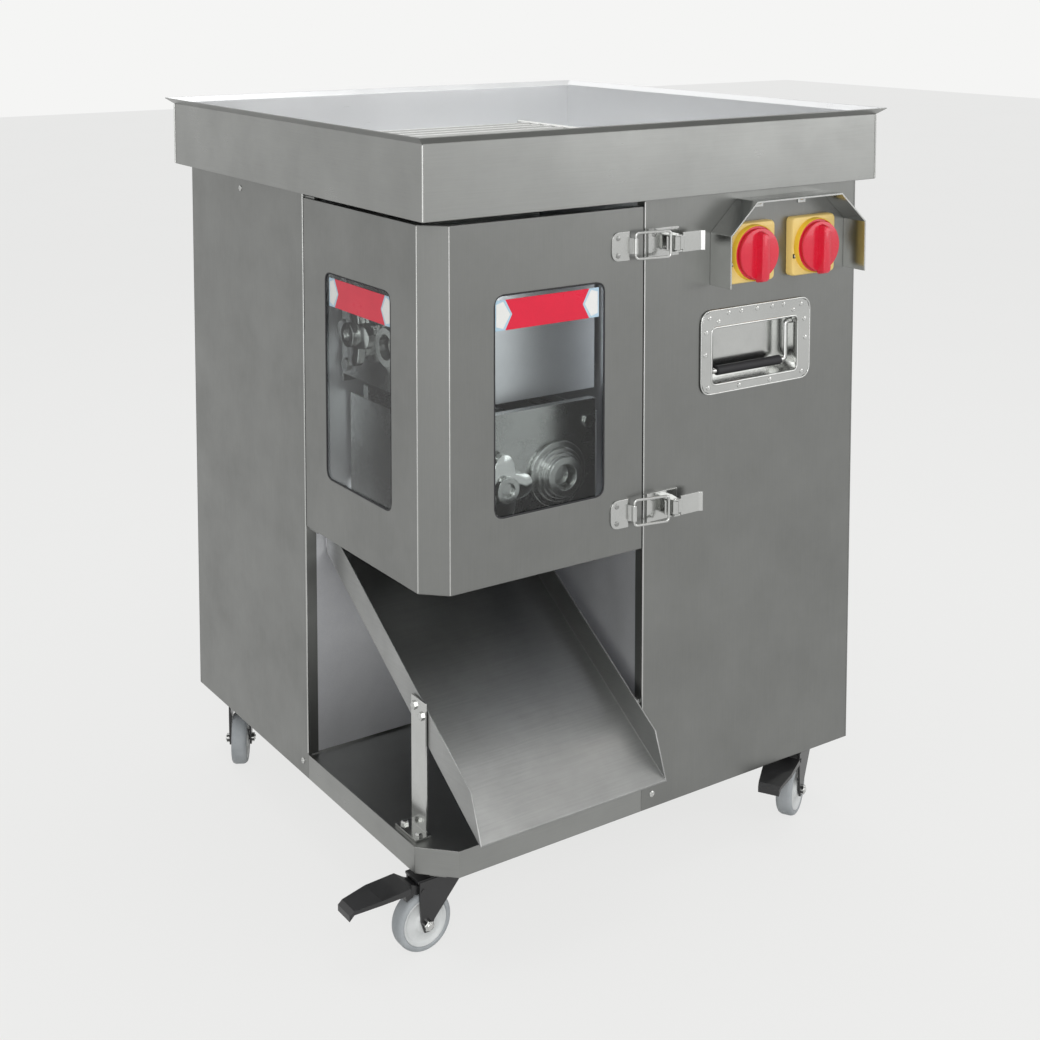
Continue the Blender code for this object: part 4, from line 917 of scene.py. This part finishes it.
@dataclass
class Door:
    """Window seals, plain films, and polished edges beside the door, in millimetres.

    Attributes:
        windows: low, high, bottom and top of each side's window.
        jambs, jamb_levels: place and heights of the fixed panel's folded edge beside the door.
        corner, bend_levels: place and heights of the upright bends of the door's cut corner.
    """

    machine: Machine
    windows: tuple[tuple[Side, Window], ...] = (
        (Side.FRONT, (90.0, 255.5, 430.0, 703.0)),
        (Side.LEFT, (89.0, 259.2, 431.0, 703.0)),
    )
    jambs: tuple[tuple[Side, float], ...] = ((Side.FRONT, 318.1), (Side.LEFT, 320.6))
    jamb_levels: tuple[float, ...] = (36.0, 300.0, 600.0, 797.0)
    corner: float = 28.0
    bend_levels: Span = (351.5, 790.5)

    def place(self, face: Side, along: float, height: float, depth: float) -> Vector:
        """Return a place on a door face, with depth into the door."""
        if face is Side.FRONT:
            return self.machine.spot(along, depth, height)
        return self.machine.spot(depth, along, height)

    def build(self) -> None:
        """Build the seals, the films and the polished edges."""
        for face, window in self.windows:
            self.seal(face, window)
            self.band(face, window)
        for face, along in self.jambs:
            path = [self.place(face, along, height, 0.1) for height in self.jamb_levels]
            self.edge(f"{face.label}_jamb_edge", path, 1.2, "frame")
        for face, _ in self.jambs:
            path = [self.place(face, self.corner, height, 0.4) for height in self.bend_levels]
            self.edge(f"{face.label}_corner_bend", path, 0.9, "door")

    def edge(self, name: str, path: list[Vector], radius: float, body: str) -> None:
        """Polish an upright edge that rides on a body."""
        put(name, tube(path, radius * MM, 12), BRIGHT, body)

    def seal(self, face: Side, window: Window) -> None:
        """Sweep a round rubber lip round the window's edge."""
        low, high, bottom, top = window
        corners = rectangle(low + 1, high - 1, bottom + 1, top - 1)
        path = rounded([self.place(face, a, z, 0.9) for a, z in corners], 13 * MM, 8)
        shape = tube(path, 1.2 * MM, 10, closed=True)
        put(f"{face.label}_window_seal", shape, RUBBER, "door")

    def band(self, face: Side, window: Window) -> None:
        """Lay plain coloured films on the pane's upper part."""
        low, high, _, top = window
        width = high - low
        start, end = low + 0.015 * width, high - 0.05 * width
        floor, roof = top - 44, top - 7
        middle = (floor + roof) / 2
        tag = ((2, floor + 5), (12, floor + 2), (22, middle), (12, roof - 2), (2, roof - 5))
        left_end = [(start + step, z) for step, z in tag]
        right_end = [(end - step, z) for step, z in tag]
        left, right = start + 15, end - 15
        band = [(left, floor), (right, floor), (end - 25, middle), (right, roof), (left, roof)]
        films = (
            ("ground", STICKER_BLUE, rectangle(start, end, floor, roof), 0.20),
            ("band", STICKER_RED, [*band, (start + 25, middle)], 0.30),
            ("left_end", STICKER_WHITE, left_end, 0.40),
            ("right_end", STICKER_WHITE, right_end, 0.40),
        )
        for part, look, outline, lift in films:
            spots = [self.place(face, a, z, 2.3) for a, z in outline]
            put(f"{face.label}_film_{part}", slab(spots, face.out, lift * MM), look, "door")


@dataclass
class CarryHandle:
    """Drop handle with a black grip, in a polished pan with beaded edges, in millimetres."""

    machine: Machine
    recess_x: Span = (428.5, 582.5)
    recess_z: Span = (546.5, 622.5)
    pan_x: Span = (411.0, 604.5)
    pan_z: Span = (535.0, 645.5)
    arm_inset: float = 10.0
    drop: float = 52.0
    rod: float = 3.6
    grip: float = 6.4

    def build(self) -> None:
        """Build the handle and the beads."""
        pivot, _ = self.machine.joint("handle_hinge")
        origin = self.machine.origin
        level, depth = (pivot.z - origin.z) / MM, (pivot.y - origin.y) / MM
        low, high = self.recess_x
        left, right = low + self.arm_inset, high - self.arm_inset
        foot = level - self.drop
        arms = [(left, level), (left, foot), (right, foot), (right, level)]
        corners = [(low + 0.6, level), *arms, (high - 0.6, level)]
        path = rounded([self.machine.spot(x, depth, z) for x, z in corners], 6 * MM, 6, closed=False)
        rod = tube(path, self.rod * MM, 20)
        start = self.machine.spot(left + 10, depth, foot)
        length, radius = (right - left - 20) * MM, self.grip * MM
        profile: Profile = [(0.0, radius * 0.8), (0.15 * radius, radius)]
        profile += [(length - 0.15 * radius, radius), (length, radius * 0.8)]
        grip = lathe(profile, start, Vector((1, 0, 0)), 32)
        put("handle_rod", rod, BRIGHT, "carry_handle_body", "carry_handle")
        put("handle_grip", grip, RUBBER, "carry_handle_body", "carry_handle")
        self.bead("recess", self.recess_x, self.recess_z, 9.0, 1.5)
        self.bead("pan", self.pan_x, self.pan_z, 18.0, 1.2)

    def bead(self, name: str, across: Span, up: Span, corner: float, size: float) -> None:
        """Raise a rounded bead along an edge of the pan.

        Args:
            name: which edge.
            across: low and high x.
            up: low and high z.
            corner: corner radius.
            size: bead radius.
        """
        path = [self.machine.spot(x, -1.9, z) for x, z in rectangle(*across, *up)]
        path = rounded(path, corner * MM, 8)
        put(f"{name}_bead", tube(path, size * MM, 12, closed=True), BRIGHT, "frame")


@dataclass
class Latch:
    """One toggle latch's rounded keeper plate and smooth wire bail, in millimetres."""

    machine: Machine
    side: str
    keeper_x: Span = (264.5, 292.5)
    keeper_half: float = 18.5
    corner: float = 13.0
    sheet: float = 1.5
    knuckle_half: float = 10.3
    knuckle_radius: float = 3.7
    bar: Span = (346.0, -17.2)
    bail_half: float = 16.5
    wire: float = 1.8
    hinge: Point = field(init=False)

    def __post_init__(self) -> None:
        """Find the bail's hinge."""
        point, _ = self.machine.joint(f"{self.side}_bail_hinge")
        self.hinge = tuple((here - start) / MM for here, start in zip(point, self.machine.origin))

    def build(self) -> None:
        """Build the keeper and the bail."""
        self.keeper()
        self.bail()

    def spot(self, x: float, y: float, z: float) -> Vector:
        """Return a place with its height from the latch's middle."""
        return self.machine.spot(x, y, self.hinge[2] + z)

    def keeper(self) -> None:
        """Build the riveted plate with its rolled eye, in place of the plain keeper."""
        (low, high), half, cut = self.keeper_x, self.keeper_half, self.corner
        body, node = "door", f"{self.side}_keeper"
        left = [self.spot(x, -0.3, z) for x, z in ((high, -half), (high, half), (low, half), (low, -half))]
        outline = left[:2] + rounded([*left[1:], left[0]], cut * MM, 8, closed=False)[1:-1]
        plate = slab(outline, Side.FRONT.out, self.sheet * MM, 0.4 * MM)
        hinge_x, hinge_y, _ = self.hinge
        reach, grip = hinge_x - high, self.knuckle_half
        web = [self.spot(high - 1, -1.0, -grip), self.spot(high - 1, -1.0, grip)]
        web_top = [self.spot(hinge_x - 1, hinge_y - self.knuckle_radius + 0.4, z) for z in (grip, -grip)]
        arm = slab([*web, *web_top], Vector((reach, 1.0, 0.0)), 1.2 * MM)
        bore, radius = self.wire + 0.3, self.knuckle_radius
        section = ((-grip, bore), (-grip, radius), (grip, radius), (grip, bore))
        eye = soft_profile(metres(section), 0.4 * MM)
        roll = lathe(eye, self.spot(hinge_x, hinge_y, 0), UP, 32, closed=True)
        for part, shape in (("plate", plate), ("web", arm), ("eye", roll)):
            put(f"{node}_{part}", shape, BRIGHT, body, node)

    def bail(self) -> None:
        """Bend the round wire bail, in place of the plain one."""
        hinge, half = self.hinge[:2], self.bail_half
        spots = [(*hinge, -half), (*self.bar, -half), (*self.bar, half), (*hinge, half)]
        path = rounded([self.spot(*spot) for spot in spots], 5 * MM, 6)
        wire = tube(path, self.wire * MM, 14, closed=True)
        name = f"{self.side}_bail"
        put(f"{name}_wire", wire, BRIGHT, f"{name}_body", name)


@dataclass
class Fasteners:
    """Rivets, screws and bolt heads on the skins, placed in millimetres."""

    machine: Machine
    rivets: Pairs = (
        (458, 640), (480, 640), (508, 640), (535, 640), (556, 640),
        (425, 636), (588, 637), (594.5, 616), (596.5, 590), (590, 544),
        (532, 540.5), (477, 540.5), (423, 544), (418, 588), (419.5, 617.5),
        (440.5, 630), (574, 630.5),
    )
    front_screws: Pairs = ((335, 18.5),)
    left_screws: Pairs = ((514, 783), (336, 19))
    guard_screws: Pairs = ((510.0, 783), (587.0, 783))
    dome: Pairs = ((0.0, 1.0), (0.45, 0.97), (0.8, 0.75), (1.0, 0.35), (0.7, 0.30), (0.6, 0.05))
    keeper_rivet: Pairs = ((0.0, 3.4), (0.9, 3.0), (1.3, 1.6))

    def head(self, name: str, place: Vector, out: Vector, radius: float, look: Finish) -> None:
        """Turn one domed head with a small round recess.

        Args:
            name: piece name.
            place: centre on the face.
            out: outward direction.
            radius: head radius in metres.
            look: its finish.
        """
        rise = radius * 0.45
        dome = [(rise * up, radius * across) for up, across in self.dome]
        put(name, lathe(dome, place, out, 20), look, "frame")

    def build(self) -> None:
        """Build all heads."""
        for name, spots, face, radius in (
            ("pan_rivet", [(x, -2.3, z) for x, z in self.rivets], Side.FRONT, 3.4),
            ("front_screw", [(x, 0, z) for x, z in self.front_screws], Side.FRONT, 4.2),
            ("left_screw", [(0, y, z) for y, z in self.left_screws], Side.LEFT, 4.2),
            ("guard_screw", [(x, -1.8, z) for x, z in self.guard_screws], Side.FRONT, 3.8),
        ):
            for index, spot in enumerate(spots):
                self.head(f"{name}_{index}", self.machine.spot(*spot), face.out, radius * MM, BRIGHT)
        for side in ("upper", "lower"):
            self.latch_rivets(side)

    def latch_rivets(self, side: str) -> None:
        """Set two rivets in each keeper and latch base."""
        point, _ = self.machine.joint(f"{side}_lever_hinge")
        origin, out = self.machine.origin, Side.FRONT.out
        for sign in (-1, 1):
            level = point.z + sign * 11 * MM
            keeper, base = (Vector((origin.x + x * MM, origin.y - 1.8 * MM, level)) for x in (274, 331))
            made = lathe(metres(self.keeper_rivet), keeper, out, 20)
            put(f"{side}_keeper_rivet_{sign + 1}", made, MACHINED, "door")
            self.head(f"{side}_base_rivet_{sign + 1}", base, out, 3.0 * MM, MACHINED)


@dataclass
class Tray:
    """Dressed welds down the tray's corners, in millimetres."""

    machine: Machine
    overhang: float = 18.5
    bottom: float = 801.5
    rim: float = 891.0

    def build(self) -> None:
        """Lay a weld bead down each outer corner."""
        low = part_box("base_pan")[0]
        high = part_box("rear_panel")[1]
        width, depth = (high[0] - self.machine.origin.x) / MM, (high[1] - self.machine.origin.y) / MM
        out = self.overhang
        corners = rectangle(-out, width + out, -out, depth + out)
        for index, (x, y) in enumerate(corners):
            path = [self.machine.spot(x, y, z) for z in (self.bottom + 1, self.rim - 1)]
            put(f"tray_weld_{index}", tube(path, 1.2 * MM, 10), WELD, "frame")
        height = self.machine.origin.z + self.bottom * MM - low[2]
        LOG.info("tray underside is %.3f m over the casters' plates", height)


@dataclass
class Studio:
    """Pale floor, soft lamps, pale background and the camera.

    Attributes:
        floor_lift: share of the background's light that the eye and mirrors add to the floor.
        lamps: name, place, size in metres and power in watts.
        chamber: the same for the lamp in the cutting chamber, placed from the cabinet's corner.
        eye, yaw, pitch: the camera's place from the same corner, and its angles in degrees.
        centre_row: pixel row of the picture that the lens looks at.
    """

    machine: Machine
    floor_look: Finish = Finish("matt_studio_floor", "#c4c4c2", "#c0c0be", 0.75, grain=4 * MM, stain=0.6)
    floor_half: float = 12.0
    floor_lift: float = 0.82
    back_colour: str = "#f5f5f4"
    light_colour: str = "#e6e7ea"
    light_strength: float = 0.55
    lamps: tuple[tuple[str, Point, float, float], ...] = (
        ("key", (-1.7, -2.7, 2.0), 1.6, 36.0),
        ("front", (2.3, -2.6, 1.6), 2.0, 20.0),
        ("top", (0.1, 0.1, 3.0), 2.4, 38.0),
        ("low", (-1.6, -2.3, 0.4), 1.6, 12.0),
        ("rear", (1.4, 2.6, 2.2), 2.0, 7.0),
    )
    chamber: tuple[Point, float, float] = ((0.15, 0.05, 0.69), 0.05, 0.12)
    aim: Point = (0.0, 0.0, 0.5)
    eye: Point = (-0.946, -1.577, 1.0765)
    yaw: float = 34.24
    pitch: float = 4.67
    focal_pixels: float = 1614.1
    frame_pixels: float = 1040.0
    centre_row: float = 111.1

    def build(self) -> None:
        """Build the floor, world, lamps and camera."""
        self.floor()
        self.world()
        for name, place, size, power in self.lamps:
            self.lamp(name, place, size, power)
        place, size, power = self.chamber
        self.lamp("chamber", tuple(self.machine.at(*place)), size, power)
        self.camera()

    def floor(self) -> None:
        """Lay a large pale floor."""
        shape = bmesh.new()
        bmesh.ops.create_grid(shape, x_segments=1, y_segments=1, size=self.floor_half)
        mesh = bpy.data.meshes.new("floor")
        shape.to_mesh(mesh)
        shape.free()
        floor = link("floor", mesh)
        floor.location.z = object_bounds()[0][2]
        mesh.materials.append(self.lifted(self.floor_look.material()))
        floor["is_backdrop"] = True

    def lifted(self, made: bpy.types.Material) -> bpy.types.Material:
        """Lighten the floor for the eye, metal and glass, and keep part of its shadow."""
        tree = made.node_tree
        out = next(node for node in tree.nodes if node.type == "OUTPUT_MATERIAL")
        shader = out.inputs["Surface"].links[0].from_socket
        share = maths(tree, "MULTIPLY", self.seen(tree), self.floor_lift)
        inputs = {"Color": linear(self.back_colour), "Strength": 1.0}
        glow = add_node(tree, "ShaderNodeEmission", inputs).outputs[0]
        mixed = add_node(tree, "ShaderNodeMixShader", {"0": share, "1": shader, "2": glow})
        tree.links.new(mixed.outputs[0], out.inputs["Surface"])
        return made

    def seen(self, tree: Tree) -> Socket:
        """Return 1 for rays from the camera and for those that metal or glass passes on."""
        rays = add_node(tree, "ShaderNodeLightPath").outputs
        direct = maths(tree, "MAXIMUM", rays["Is Camera Ray"], rays["Is Transmission Ray"])
        return maths(tree, "MAXIMUM", direct, rays["Is Glossy Ray"])

    def world(self) -> None:
        """Set an even soft light, with a pale background for the eye and for reflections."""
        world = bpy.data.worlds.new("studio")
        bpy.context.scene.world = world
        tree = empty_tree(world)
        inputs = {"0": self.seen(tree)}
        looks = (self.light_colour, self.light_strength), (self.back_colour, 1.0)
        for slot, (colour, strength) in enumerate(looks, 1):
            light = add_node(tree, "ShaderNodeBackground", {"Color": linear(colour), "Strength": strength})
            inputs[str(slot)] = light.outputs[0]
        both = add_node(tree, "ShaderNodeMixShader", inputs)
        add_node(tree, "ShaderNodeOutputWorld", {"Surface": both.outputs[0]})

    def lamp(self, name: str, place: Point, size: float, power: float) -> None:
        """Hang a soft square lamp that looks at the machine."""
        data = bpy.data.lights.new(name, "AREA")
        data.size = size
        data.energy = power
        made = link(name, data)
        made.location = place
        way = Vector(self.aim) - Vector(place)
        made.rotation_euler = way.to_track_quat("-Z", "Y").to_euler()

    def camera(self) -> None:
        """Stand the camera where the photograph was taken from."""
        data = bpy.data.cameras.new("camera")
        data.sensor_width = 36.0
        data.lens = self.focal_pixels / self.frame_pixels * data.sensor_width
        data.shift_y = self.centre_row / self.frame_pixels - 0.5
        data.clip_start = 0.05
        eye = link("camera", data)
        eye.location = self.machine.at(*self.eye)
        eye.rotation_euler = (math.radians(90 - self.pitch), 0.0, -math.radians(self.yaw))
        bpy.context.scene.camera = eye


def main() -> None:
    """Dress the machine, add its fine pieces and set up the studio."""
    logging.basicConfig(level=logging.INFO, format="%(message)s")
    machine = Machine(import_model())
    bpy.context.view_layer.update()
    Skins(machine).dress()
    Casters(machine).build()
    for name in ("upper", "lower"):
        Cutters(machine, name).build()
    for side in ("upper", "lower"):
        Latch(machine, side).build()
    Switches(machine).build()
    CarryHandle(machine).build()
    Door(machine).build()
    Fasteners(machine).build()
    Tray(machine).build()
    Studio(machine).build()
    bpy.context.scene.view_settings.view_transform = "Standard"


if __name__ == "__main__":
    main()
